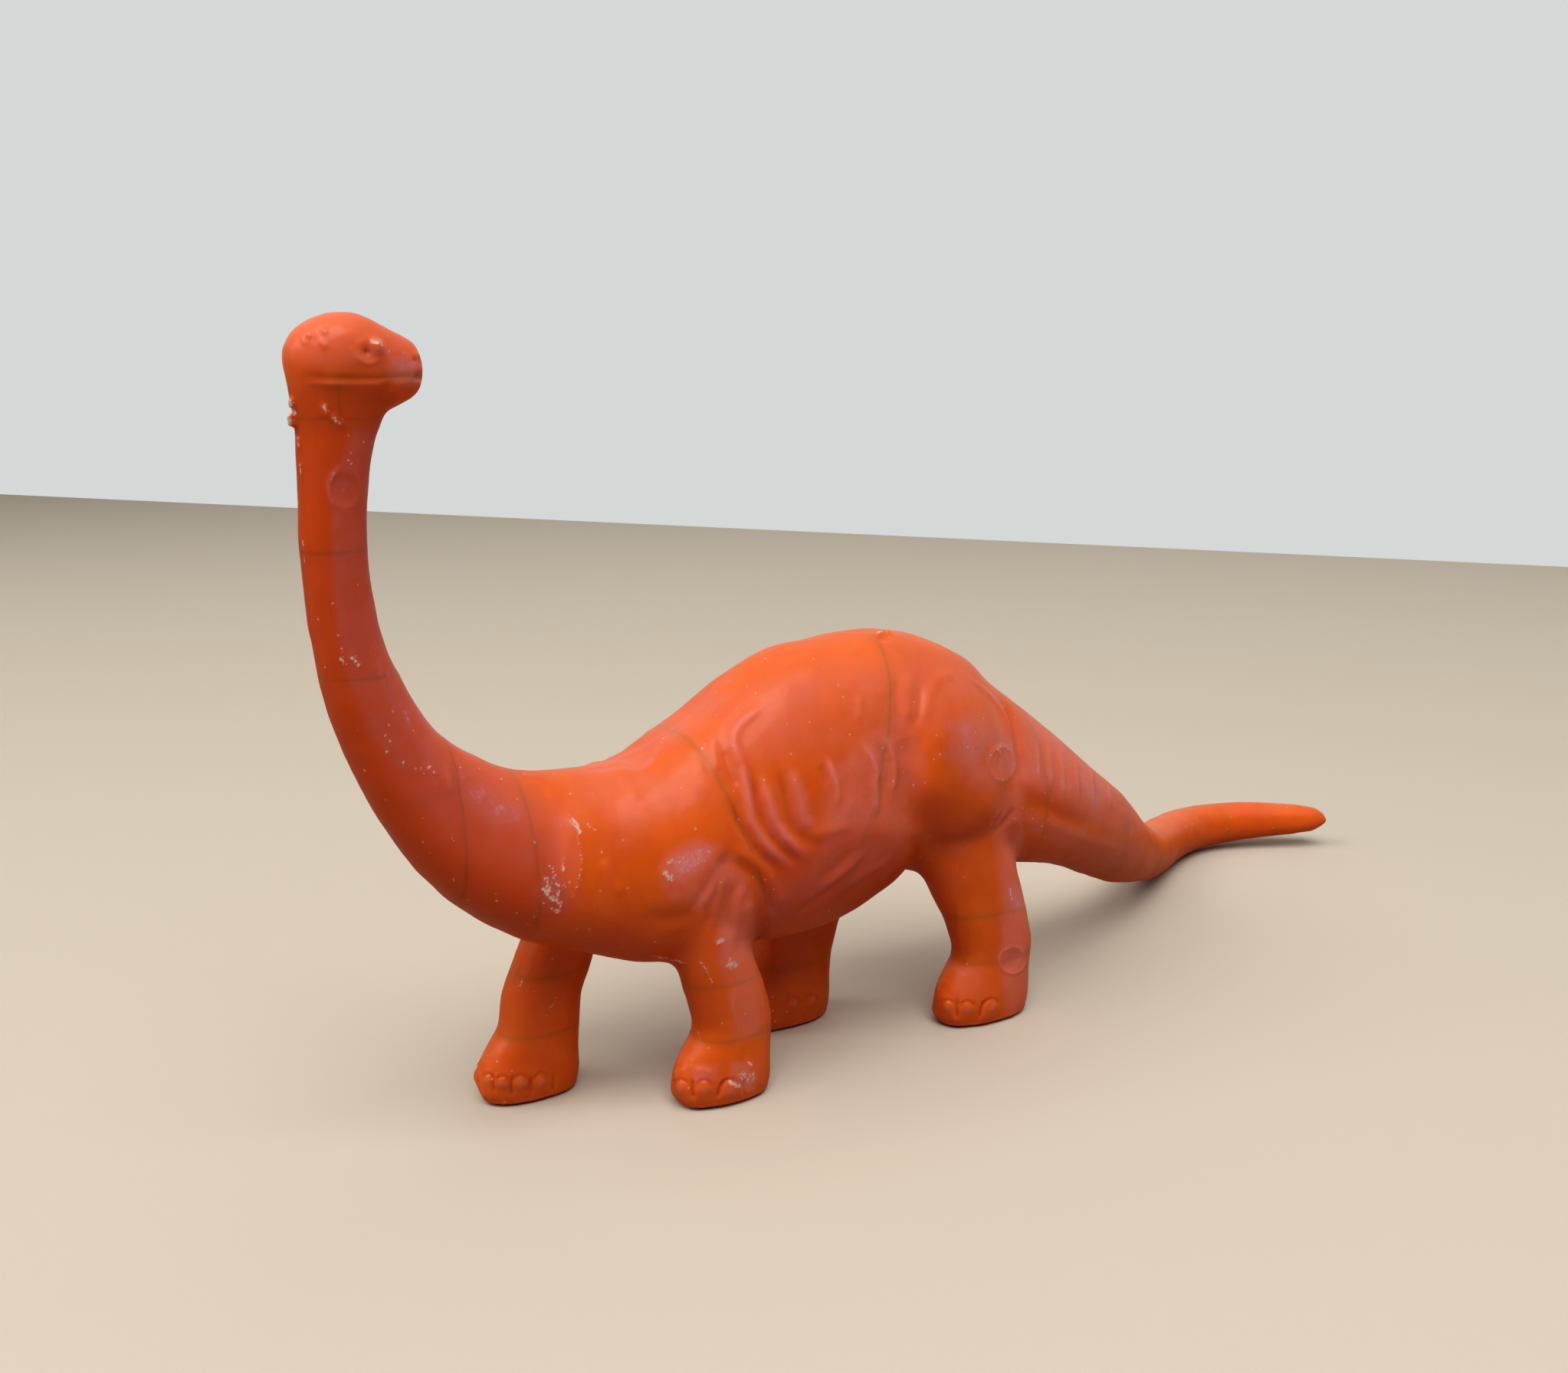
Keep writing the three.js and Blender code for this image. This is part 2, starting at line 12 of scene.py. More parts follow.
import functools
import logging
import math
from collections.abc import Callable
from dataclasses import dataclass, field, replace
from enum import Enum

import bmesh
import bpy
import numpy as np
from mathutils import Matrix, Vector
from mathutils.bvhtree import BVHTree


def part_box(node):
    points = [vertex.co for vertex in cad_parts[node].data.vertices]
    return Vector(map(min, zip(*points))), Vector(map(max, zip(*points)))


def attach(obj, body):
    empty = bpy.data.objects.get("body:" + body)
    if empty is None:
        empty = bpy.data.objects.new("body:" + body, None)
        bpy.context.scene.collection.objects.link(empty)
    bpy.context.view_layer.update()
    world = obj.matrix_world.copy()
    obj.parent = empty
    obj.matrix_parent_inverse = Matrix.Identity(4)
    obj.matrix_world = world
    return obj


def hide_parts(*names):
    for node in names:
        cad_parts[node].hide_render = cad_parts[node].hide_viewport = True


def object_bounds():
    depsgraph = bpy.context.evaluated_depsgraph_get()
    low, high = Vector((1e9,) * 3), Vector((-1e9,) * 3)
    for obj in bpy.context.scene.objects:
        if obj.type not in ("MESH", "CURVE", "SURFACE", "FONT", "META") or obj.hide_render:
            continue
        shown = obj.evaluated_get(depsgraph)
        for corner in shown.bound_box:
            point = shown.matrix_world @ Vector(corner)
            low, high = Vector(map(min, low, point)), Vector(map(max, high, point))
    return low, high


LOG = logging.getLogger("figure")
MM = 0.001
BODY = "root"

Colour = tuple[float, float, float]
Pixel = tuple[float, float]

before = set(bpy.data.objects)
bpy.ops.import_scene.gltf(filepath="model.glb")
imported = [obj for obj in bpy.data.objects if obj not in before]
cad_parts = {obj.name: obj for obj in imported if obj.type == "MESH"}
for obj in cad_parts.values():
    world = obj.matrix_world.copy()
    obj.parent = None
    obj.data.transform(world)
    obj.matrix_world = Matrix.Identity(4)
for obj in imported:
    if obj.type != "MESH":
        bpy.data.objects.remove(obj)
CAD_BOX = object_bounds()
MIDDLE = (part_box("left_fore_foot")[0].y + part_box("right_fore_foot")[1].y) / 2
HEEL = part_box("left_hind_foot")[1].x


def between_feet(side: str) -> float:
    """How far back the middle of the gap between a side's fore and hind foot lies."""
    return (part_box(f"{side}_fore_foot")[1].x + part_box(f"{side}_hind_foot")[0].x) / 2


def gather(items: object, name: str, width: int = 1, kind: type = float) -> np.ndarray:
    """One number or vector of every item of a mesh.

    Args:
        items: The mesh's vertices, edges, loops, faces or the data of an attribute.
        name: Which of their values.
        width: How many numbers each value has.
        kind: Type of the numbers.

    Returns:
        One row per item, or one number per item where the width is 1.
    """
    found = np.empty(len(items) * width, kind)
    items.foreach_get(name, found)
    return found.reshape(-1, width) if width > 1 else found


# Camera and stage


@dataclass(frozen=True)
class PhotoView:
    """The place that the photograph was taken from, and the rays through its picture."""

    place: tuple[float, float, float] = (-0.08719, -0.10132, 0.05584)
    ahead: tuple[float, float, float] = (0.5409, 0.8150, -0.2079)
    across: tuple[float, float, float] = (0.8332, -0.5530, 0.0)
    focal: float = 1900.0
    width: int = 2046
    height: int = 1792
    sensor: float = 36.0
    nearest: float = 0.005
    farthest: float = 20.0

    def axes(self) -> tuple[Vector, Vector, Vector]:
        """Right, up and ahead of the camera, as unit vectors."""
        ahead = Vector(self.ahead).normalized()
        right = Vector(self.across).normalized()
        return right, right.cross(ahead).normalized(), ahead

    def pixels(self, points: np.ndarray) -> np.ndarray:
        """Pixels of the photograph that points in space stand at."""
        right, up, ahead = (np.array(axis) for axis in self.axes())
        away = points - np.array(self.place)
        depth = away @ ahead
        across = self.width / 2 + self.focal * (away @ right) / depth
        down = self.height / 2 - self.focal * (away @ up) / depth
        return np.column_stack([across, down])

    def ray(self, pixel: Pixel) -> Vector:
        """Direction of the ray through a pixel.

        Args:
            pixel: Place in the photograph, from its top left corner.

        Returns:
            A unit vector that starts at the camera's place.
        """
        right, up, ahead = self.axes()
        side = (pixel[0] - self.width / 2) / self.focal
        down = (pixel[1] - self.height / 2) / self.focal
        return (ahead + right * side - up * down).normalized()

    def make_camera(self) -> None:
        """Makes the scene's camera."""
        data = bpy.data.cameras.new("photo_camera")
        data.sensor_fit = "HORIZONTAL"
        data.sensor_width = self.sensor
        data.lens = self.sensor * self.focal / self.width
        data.clip_start = self.nearest
        data.clip_end = self.farthest
        camera = bpy.data.objects.new("photo_camera", data)
        bpy.context.scene.collection.objects.link(camera)
        right, up, ahead = self.axes()
        turn = Matrix((right, up, -ahead)).transposed().to_4x4()
        camera.matrix_world = Matrix.Translation(Vector(self.place)) @ turn
        bpy.context.scene.camera = camera


VIEW = PhotoView()


@dataclass(frozen=True)
class Lamp:
    """A soft panel light that faces the figure."""

    name: str
    place: tuple[float, float, float]
    size: float
    power: float
    colour: Colour = (1.0, 0.98, 0.95)

    def make(self, target: Vector) -> None:
        """Hangs the lamp at its place, turned towards a target."""
        data = bpy.data.lights.new(self.name, "AREA")
        data.shape = "SQUARE"
        data.size = self.size
        data.energy = self.power
        data.color = self.colour
        lamp = bpy.data.objects.new(self.name, data)
        bpy.context.scene.collection.objects.link(lamp)
        lamp.location = self.place
        lamp.rotation_mode = "QUATERNION"
        lamp.rotation_quaternion = (target - Vector(self.place)).to_track_quat("-Z", "Y")


@dataclass
class Studio:
    """Plain pale floor, a plain pale wall behind it, soft lamps and an even sky."""

    floor_colour: Colour = (0.68, 0.60, 0.49)
    floor_bounce: Colour = (0.30, 0.21, 0.14)
    floor_roughness: float = 0.8
    floor_gloss: float = 0.2
    floor_reach: float = 4.0
    wall_colour: Colour = (0.66, 0.69, 0.68)
    wall_roughness: float = 0.9
    wall_foot: tuple[Pixel, Pixel] = ((0.0, 645.0), (2046.0, 740.0))
    wall_reach: float = 3.0
    wall_height: float = 2.5
    sky_colour: Colour = (0.90, 0.95, 1.0)
    sky_strength: float = 0.04
    lamps: tuple[Lamp, ...] = (
        Lamp("ceiling_panel", (0.0, 0.0, 0.72), 0.60, 0.5),
        Lamp("window_left", (-0.52, 0.12, 0.52), 0.50, 2.3),
        Lamp("panel_over_camera", (-0.15, -0.30, 0.62), 0.50, 3.8),
    )

    def make(self) -> None:
        """Builds the floor, the wall, the sky and the lamps."""
        self.make_floor()
        self.make_wall()
        self.make_sky()
        low, high = CAD_BOX
        for lamp in self.lamps:
            lamp.make((low + high) / 2)

    @staticmethod
    def plane(name: str, size: float) -> tuple[bpy.types.Object, Graph, bpy.types.Node]:
        """Makes a plane with a material of its own.

        Args:
            name: Name of the plane.
            size: Length of its sides.

        Returns:
            The plane, its material's wiring and its shader.
        """
        bpy.ops.object.select_all(action="DESELECT")
        bpy.ops.mesh.primitive_plane_add(size=size)
        plane = bpy.context.active_object
        plane.name = f"studio_{name}"
        material = bpy.data.materials.new(f"pale_{name}")
        material.use_nodes = True
        plane.data.materials.append(material)
        return plane, Graph(material.node_tree), material.node_tree.nodes["Principled BSDF"]

    def make_floor(self) -> None:
        """Lays the floor. The camera sees it pale, and it throws a warmer, dimmer light back."""
        floor, graph, shader = self.plane("floor", 2 * self.floor_reach)
        shader.inputs["Roughness"].default_value = self.floor_roughness
        shader.inputs["Specular IOR Level"].default_value = self.floor_gloss
        seen = graph.node("ShaderNodeLightPath").outputs["Is Camera Ray"]
        graph.feed(shader.inputs["Base Color"], graph.mix(seen, self.floor_bounce, self.floor_colour))

    def make_wall(self) -> None:
        """Stands a plain wall behind the figure, on the line where the floor ends in the photograph."""
        place = Vector(VIEW.place)
        rays = [VIEW.ray(pixel) for pixel in self.wall_foot]
        first, last = (place - ray * (place.z / ray.z) for ray in rays)
        along = (last - first).normalized() * self.wall_reach
        wall, graph, shader = self.plane("wall", 1)
        corners = (first - along, last + along) * 2
        for vertex, corner, lift in zip(wall.data.vertices, corners, (0, 0, 1, 1)):
            vertex.co = corner + Vector((0, 0, lift * self.wall_height))
        graph.feed(shader.inputs["Base Color"], self.wall_colour)
        shader.inputs["Roughness"].default_value = self.wall_roughness
        glow = graph.node("ShaderNodeEmission")
        graph.feed(glow.inputs["Color"], self.wall_colour)
        path = graph.node("ShaderNodeLightPath").outputs
        either = graph.node("ShaderNodeMixShader")
        graph.feed(either.inputs[0], graph.math("MAXIMUM", path["Is Camera Ray"], path["Is Glossy Ray"]))
        graph.feed(either.inputs[1], shader.outputs[0])
        graph.feed(either.inputs[2], glow.outputs[0])
        graph.feed(graph.tree.nodes["Material Output"].inputs["Surface"], either.outputs[0])

    def make_sky(self) -> None:
        """Lights the scene evenly from all round."""
        world = bpy.data.worlds.new("even_sky")
        world.use_nodes = True
        background = world.node_tree.nodes["Background"]
        background.inputs["Color"].default_value = (*self.sky_colour, 1.0)
        background.inputs["Strength"].default_value = self.sky_strength
        bpy.context.scene.world = world


# Marks on the skin


class Profile(Enum):
    """Section of a mark, across its line."""

    RIDGE = "ridge"
    DISC = "disc"


class Side(Enum):
    """Where a mark that the camera sees comes back on the far flank."""

    NEAR = "nowhere"
    BODY = "straight across the body"
    FORE = "on the other fore leg"
    HIND = "on the other hind leg"


@dataclass(frozen=True)
class Mark:
    """One stroke of the sculptor's tool, or of wear, along a line of pixels in the photograph."""

    path: tuple[Pixel, ...]
    width: float
    rise: float = 0.0
    bloom: float = 0.0
    scuff: float = 0.0
    side: Side = Side.BODY
    profile: Profile = Profile.RIDGE
    closed: bool = False
    shine: float = 0.0


@dataclass(frozen=True)
class Veil:
    """A patch of paint inside an outline of pixels in the photograph, the same on both flanks."""

    outline: tuple[Pixel, ...]
    amount: float
    edge: float
    paint: str = "bloom"

    def strength(self, pixels: np.ndarray) -> np.ndarray:
        """How much paint lies on points that stand at these pixels."""
        low, high = np.min(self.outline, axis=0) - self.edge, np.max(self.outline, axis=0) + self.edge
        found = np.zeros(len(pixels))
        close = np.flatnonzero(np.all((pixels > low) & (pixels < high), axis=1))
        spots = pixels[close]
        inside = np.zeros(len(close), bool)
        away = np.full(len(close), np.inf)
        corners = np.array(self.outline, float)
        for start, end in zip(corners, np.roll(corners, -1, axis=0)):
            way = end - start
            along = np.clip((spots - start) @ way / (way @ way), 0, 1)
            away = np.minimum(away, np.linalg.norm(spots - start - along[:, None] * way, axis=1))
            crossed = (start[1] > spots[:, 1]) != (end[1] > spots[:, 1])
            rise = way[1] if way[1] else 1.0
            inside ^= crossed & (spots[:, 0] < start[0] + (spots[:, 1] - start[1]) * way[0] / rise)
        depth = np.clip((np.where(inside, away, -away) / self.edge + 1) / 2, 0, 1)
        found[close] = self.amount * depth * depth * (3 - 2 * depth)
        return found


def ring(
    x: float, y: float, rx: float, ry: float, start: float = 0.0, end: float = 360.0
) -> tuple[Pixel, ...]:
    """Pixels on an ellipse round a pixel.

    Args:
        x: Middle of the ellipse, across.
        y: Middle of the ellipse, down.
        rx: Half width.
        ry: Half height.
        start: First angle in degrees.
        end: Last angle in degrees.

    Returns:
        A path for a mark.
    """
    step, fewest = 15, 6
    count = max(fewest, int(abs(end - start) / step) + 1)
    turns = np.radians(np.linspace(start, end, count))
    return tuple((x + rx * math.cos(t), y + ry * math.sin(t)) for t in turns)


def toe(x: float, y: float, reach: float = 12.0, rise: float = 0.20) -> tuple[Mark, ...]:
    """One toe with its nail.

    Args:
        x: Middle of the nail in the photograph, across.
        y: Middle of the nail, down.
        reach: Half width of the nail in pixels.
        rise: How far the toe stands out.

    Returns:
        The toe's lobe, the nail's plate and the crease over it.
    """
    lobe, plate, plate_rise, crease = 0.062 * reach, 0.032 * reach, 0.07, 0.13
    arch = ring(x, y + 4, reach * 0.92, reach * 1.25, start=200, end=335)
    return (
        Mark(((x, y - 4),), lobe, rise),
        Mark(((x, y + 2),), plate, plate_rise, shine=0.8),
        Mark(arch, crease, -crease),
    )


def on(side: Side, *marks: Mark) -> tuple[Mark, ...]:
    """Marks that all come back on the far flank in the same way.

    Args:
        side: Where they come back.
        marks: The marks, each with its path, width, rise, bloom and scuff.

    Returns:
        The same marks for that side.
    """
    return tuple(replace(mark, side=side) for mark in marks)


FOLDS = on(
    Side.BODY,
    # The pink bloom on the fold ridges is partly the film and partly a painted highlight along them
    # Front rib fold, with its hook at the top
    Mark(((992, 922), (980, 932), (966, 944), (958, 956), (957, 970), (962, 984), (970, 1000)),
         0.44, 0.15, 0.50),
    Mark(((968, 992), (972, 1016), (976, 1040), (980, 1072), (990, 1090), (1000, 1104), (1012, 1116),
          (1030, 1130)),
         0.38, 0.24, 0.75),
    Mark(((994, 1020), (1002, 1044), (1006, 1060), (1012, 1076), (1024, 1092), (1038, 1108), (1052, 1120)),
         0.42, 0.27, 0.75),
    Mark(((1030, 1004), (1044, 1040), (1048, 1066), (1060, 1084)), 0.56, 0.18, 0.65),
    Mark(((1052, 1096), (1072, 1087), (1100, 1080), (1114, 1076)), 0.50, 0.12),
    Mark(((928, 958), (930, 976), (933, 992), (937, 1008)), 0.46, 0.13, 0.10),
    Mark(((900, 972), (908, 990), (918, 1010)), 0.45, 0.07),
    # Deep orange grooves between the front folds
    Mark(((952, 1050), (958, 1060), (966, 1076), (982, 1098), (994, 1114), (1004, 1124), (1016, 1138)),
         0.40, -0.30),
    Mark(((980, 1008), (986, 1032), (992, 1056), (998, 1072), (1014, 1100), (1028, 1114), (1044, 1128)),
         0.42, -0.30),
    Mark(((1018, 1004), (1024, 1028), (1028, 1050), (1032, 1068), (1040, 1086), (1052, 1096), (1066, 1104)),
         0.52, -0.34),
    Mark(((1070, 998), (1074, 1010), (1077, 1026)), 0.32, -0.14),
    Mark(((1100, 985), (1106, 1010), (1108, 1036)), 0.42, -0.08),
    Mark(((944, 978), (950, 1000), (960, 1028)), 0.42, -0.12),
    # Fine rear rib folds
    Mark(((1080, 990), (1084, 1004), (1090, 1020), (1092, 1036), (1092, 1054)), 0.28, 0.26, 0.95, 0.15),
    Mark(((1124, 970), (1130, 978), (1138, 992), (1143, 1008), (1140, 1024), (1143, 1038), (1142, 1056),
          (1138, 1068)), 0.34, 0.28, 0.95, 0.14),
    Mark(((1154, 962), (1162, 980), (1167, 996), (1168, 1016), (1165, 1038)), 0.32, 0.25, 0.80),
    Mark(((1121, 908), (1122, 922), (1122, 940)), 0.28, 0.10, 0.25),
    Mark(((1150, 970), (1155, 996), (1156, 1020), (1153, 1045)), 0.36, -0.16),
    Mark(((1112, 1040), (1106, 1056), (1094, 1068)), 0.50, 0.06, 0.60),
    # Folds under the belly
    Mark(((1074, 1160), (1100, 1138), (1116, 1124), (1130, 1112)), 0.40, 0.14, 0.65),
    Mark(((1100, 1160), (1130, 1140), (1162, 1122)), 0.42, 0.10, 0.40),
    Mark(((1066, 1150), (1092, 1130), (1114, 1110)), 0.42, -0.08),
    Mark(((1040, 1190), (1070, 1172), (1092, 1152)), 0.40, -0.10),
    # Skin in front of the haunch
    Mark(((1172, 882), (1168, 905), (1171, 930), (1180, 948)), 0.36, -0.08, 0.15),
    Mark(((1199, 888), (1200, 915), (1196, 938), (1188, 950)), 0.42, -0.10, 0.10),
    Mark(((1185, 880), (1185, 915), (1184, 942)), 0.55, 0.14),
    # Haunch
    Mark(((1206, 945), (1210, 922), (1213, 903), (1219, 890), (1230, 882), (1248, 880)), 0.52, 0.11, 0.22),
    Mark(((1180, 960), (1186, 985), (1186, 1020), (1192, 1055), (1206, 1085)), 1.15, -0.32),
    Mark(((1176, 1000), (1180, 1040), (1190, 1090), (1200, 1120)), 1.0, -0.22),
    Mark(((1262, 884), (1290, 906), (1303, 922), (1312, 935), (1318, 948), (1321, 966)), 0.46, 0.12, 0.12),
    Mark(((1308, 912), (1321, 938), (1328, 960), (1333, 993), (1335, 1022)), 0.60, -0.36, 0.12),
    Mark(((1326, 1006), (1328, 1040), (1328, 1080), (1327, 1114)), 0.52, 0.22, 0.25),
    Mark(((1298, 1088), (1306, 1078), (1317, 1066), (1322, 1054)), 0.36, -0.22),
    Mark(((1286, 1092), (1290, 1078), (1298, 1066), (1306, 1056)), 0.40, 0.14, 0.15),
    Mark(((1215, 1096), (1240, 1103), (1270, 1099), (1290, 1088)), 0.70, -0.12),
    Mark(((1232, 1108), (1250, 1108), (1266, 1112)), 0.60, 0.10, 0.25),
    # Tail root: fine upright wrinkles and one long fold
    *(
        Mark(((x, top), (x + 2, (top + foot) / 2), (x + 3, foot)), 0.36, rise, 0.95)
        for x, top, foot, rise in (
            (1352, 960, 1020, 0.06), (1368, 972, 1032, 0.10), (1385, 982, 1042, 0.11),
            (1404, 992, 1046, 0.10), (1424, 1004, 1050, 0.09), (1446, 1022, 1056, 0.07),
        )
    ),
    Mark(((1338, 1058), (1370, 1074), (1402, 1090), (1436, 1102), (1462, 1112)), 0.60, 0.10, 0.30),
    Mark(((1340, 1044), (1372, 1056), (1402, 1068), (1430, 1082)), 0.70, -0.07),
    # A faint crease runs under the crest of the back
    Mark(((905, 938), (940, 905), (985, 880), (1040, 863), (1100, 857), (1145, 856)), 0.50, -0.06),
    # The front of the back is a little flatter than the blank
    Mark(((800, 990), (840, 975), (880, 945), (920, 910), (960, 880), (1000, 860)), 2.6, -0.30),
)

SHOULDER = on(
    Side.FORE,
    # Creases that fan out of the armpit, and the wedge at the top of the near fore leg
    Mark(((950, 1112), (936, 1140), (918, 1168), (902, 1192)), 0.48, -0.24),
    Mark(((950, 1118), (940, 1150), (930, 1182), (918, 1216)), 0.38, -0.19),
    Mark(((952, 1120), (948, 1160), (943, 1196), (938, 1222)), 0.36, -0.13),
    Mark(((944, 1128), (928, 1160), (912, 1186)), 0.48, 0.21),
    Mark(((946, 1140), (936, 1172), (928, 1200)), 0.36, 0.16),
    Mark(((970, 1152), (962, 1178), (958, 1206), (958, 1234)), 0.41, 0.19),
    Mark(((956, 1156), (950, 1190), (948, 1222)), 0.36, -0.21),
    Mark(((976, 1150), (986, 1172), (991, 1200), (993, 1238)), 0.43, -0.27),
    Mark(((974, 1176), (976, 1200), (974, 1226)), 0.84, 0.18),
    Mark(((952, 1104), (975, 1118), (996, 1138), (1012, 1162), (1024, 1188)), 0.50, 0.21),
    Mark(((958, 1122), (984, 1140), (1000, 1166), (1008, 1196)), 0.48, -0.21),
    Mark(((838, 1196), (868, 1200), (898, 1196), (914, 1188)), 0.84, -0.21),
    Mark(((788, 1118), (796, 1140), (812, 1170)), 0.43, 0.18),
    Mark(((808, 1008), (820, 1024), (834, 1046)), 0.60, 0.11),
    Mark(((846, 1002), (860, 1022), (872, 1048)), 0.72, 0.06),
)

HEAD = on(
    Side.BODY,
    # Lips: the upper one overhangs softly, and the lower one has a thin rim, whose pale tint is a painted
    # highlight
    Mark(((398, 497), (420, 498), (455, 499), (490, 498), (520, 496), (546, 494)), 0.36, 0.05),
    Mark(((398, 492), (420, 493), (455, 494), (490, 494), (520, 493), (549, 491)), 0.24, -0.09),
    Mark(((400, 500), (440, 501), (470, 501), (500, 500)), 0.11, 0.04, 0.22),
    # Eyes: a boss with a hollow behind it and a lid below
    Mark(((493, 452),), 0.44, 0.36, shine=1.0),
    Mark(((479, 459),), 0.26, -0.22),
    Mark(((463, 459), (467, 468), (476, 474), (487, 474), (496, 468)), 0.18, 0.09, 0.25),
    Mark(((466, 452), (472, 446), (480, 443)), 0.26, 0.06),
    # Ears: a small boss in a broken ring of lobes
    Mark(((403, 438),), 0.20, 0.16, 0.20),
    Mark(ring(404, 440, 10, 9, 100, 230), 0.17, 0.07, 0.15),
    Mark(((412, 446), (409, 434)), 0.13, -0.08),
    Mark(((418, 446), (423, 451)), 0.20, 0.09, 0.25),
    Mark(((419, 427), (424, 433)), 0.18, 0.09, 0.20),
    # Nostril and snout
    Mark(((538, 459), (546, 466), (551, 474)), 0.26, 0.12),
    Mark(((541, 470),), 0.18, -0.12),
    Mark(((549, 481),), 0.24, 0.10),
    Mark(((544, 492), (550, 493)), 0.22, -0.16),
    Mark(((505, 497), (507, 506), (503, 516)), 0.40, -0.07),
)

# Rings of the ejector pins, with a shallow disc inside each
MOULD_MARKS = on(
    Side.NEAR,
    Mark(ring(449, 638, 21, 26), 0.10, 0.08, closed=True),
    Mark(ring(449, 638, 20, 27, 120, 265), 0.13, 0.06, 0.9, 0.55),
    Mark(((449, 640),), 0.85, -0.07, bloom=0.62, profile=Profile.DISC),
    Mark(ring(729, 1320, 20, 21), 0.10, 0.06, scuff=0.35, closed=True),
    Mark(((729, 1320),), 0.80, -0.05, profile=Profile.DISC),
    Mark(ring(1321, 1253, 17, 18), 0.12, 0.09, bloom=0.7, scuff=0.45, closed=True),
    Mark(((1321, 1253),), 0.85, -0.08, profile=Profile.DISC),
    Mark(ring(1307, 997, 17, 22), 0.15, 0.11, bloom=0.8, scuff=0.62, closed=True),
    Mark(((1307, 997),), 0.80, -0.06, bloom=0.8, profile=Profile.DISC),
    Mark(ring(730, 1122, 28, 60, -80, 80), 0.20, 0.06, scuff=0.62),
    Mark(ring(730, 1122, 26, 56, 100, 250), 0.30, 0.0, 0.4, 0.35),
)

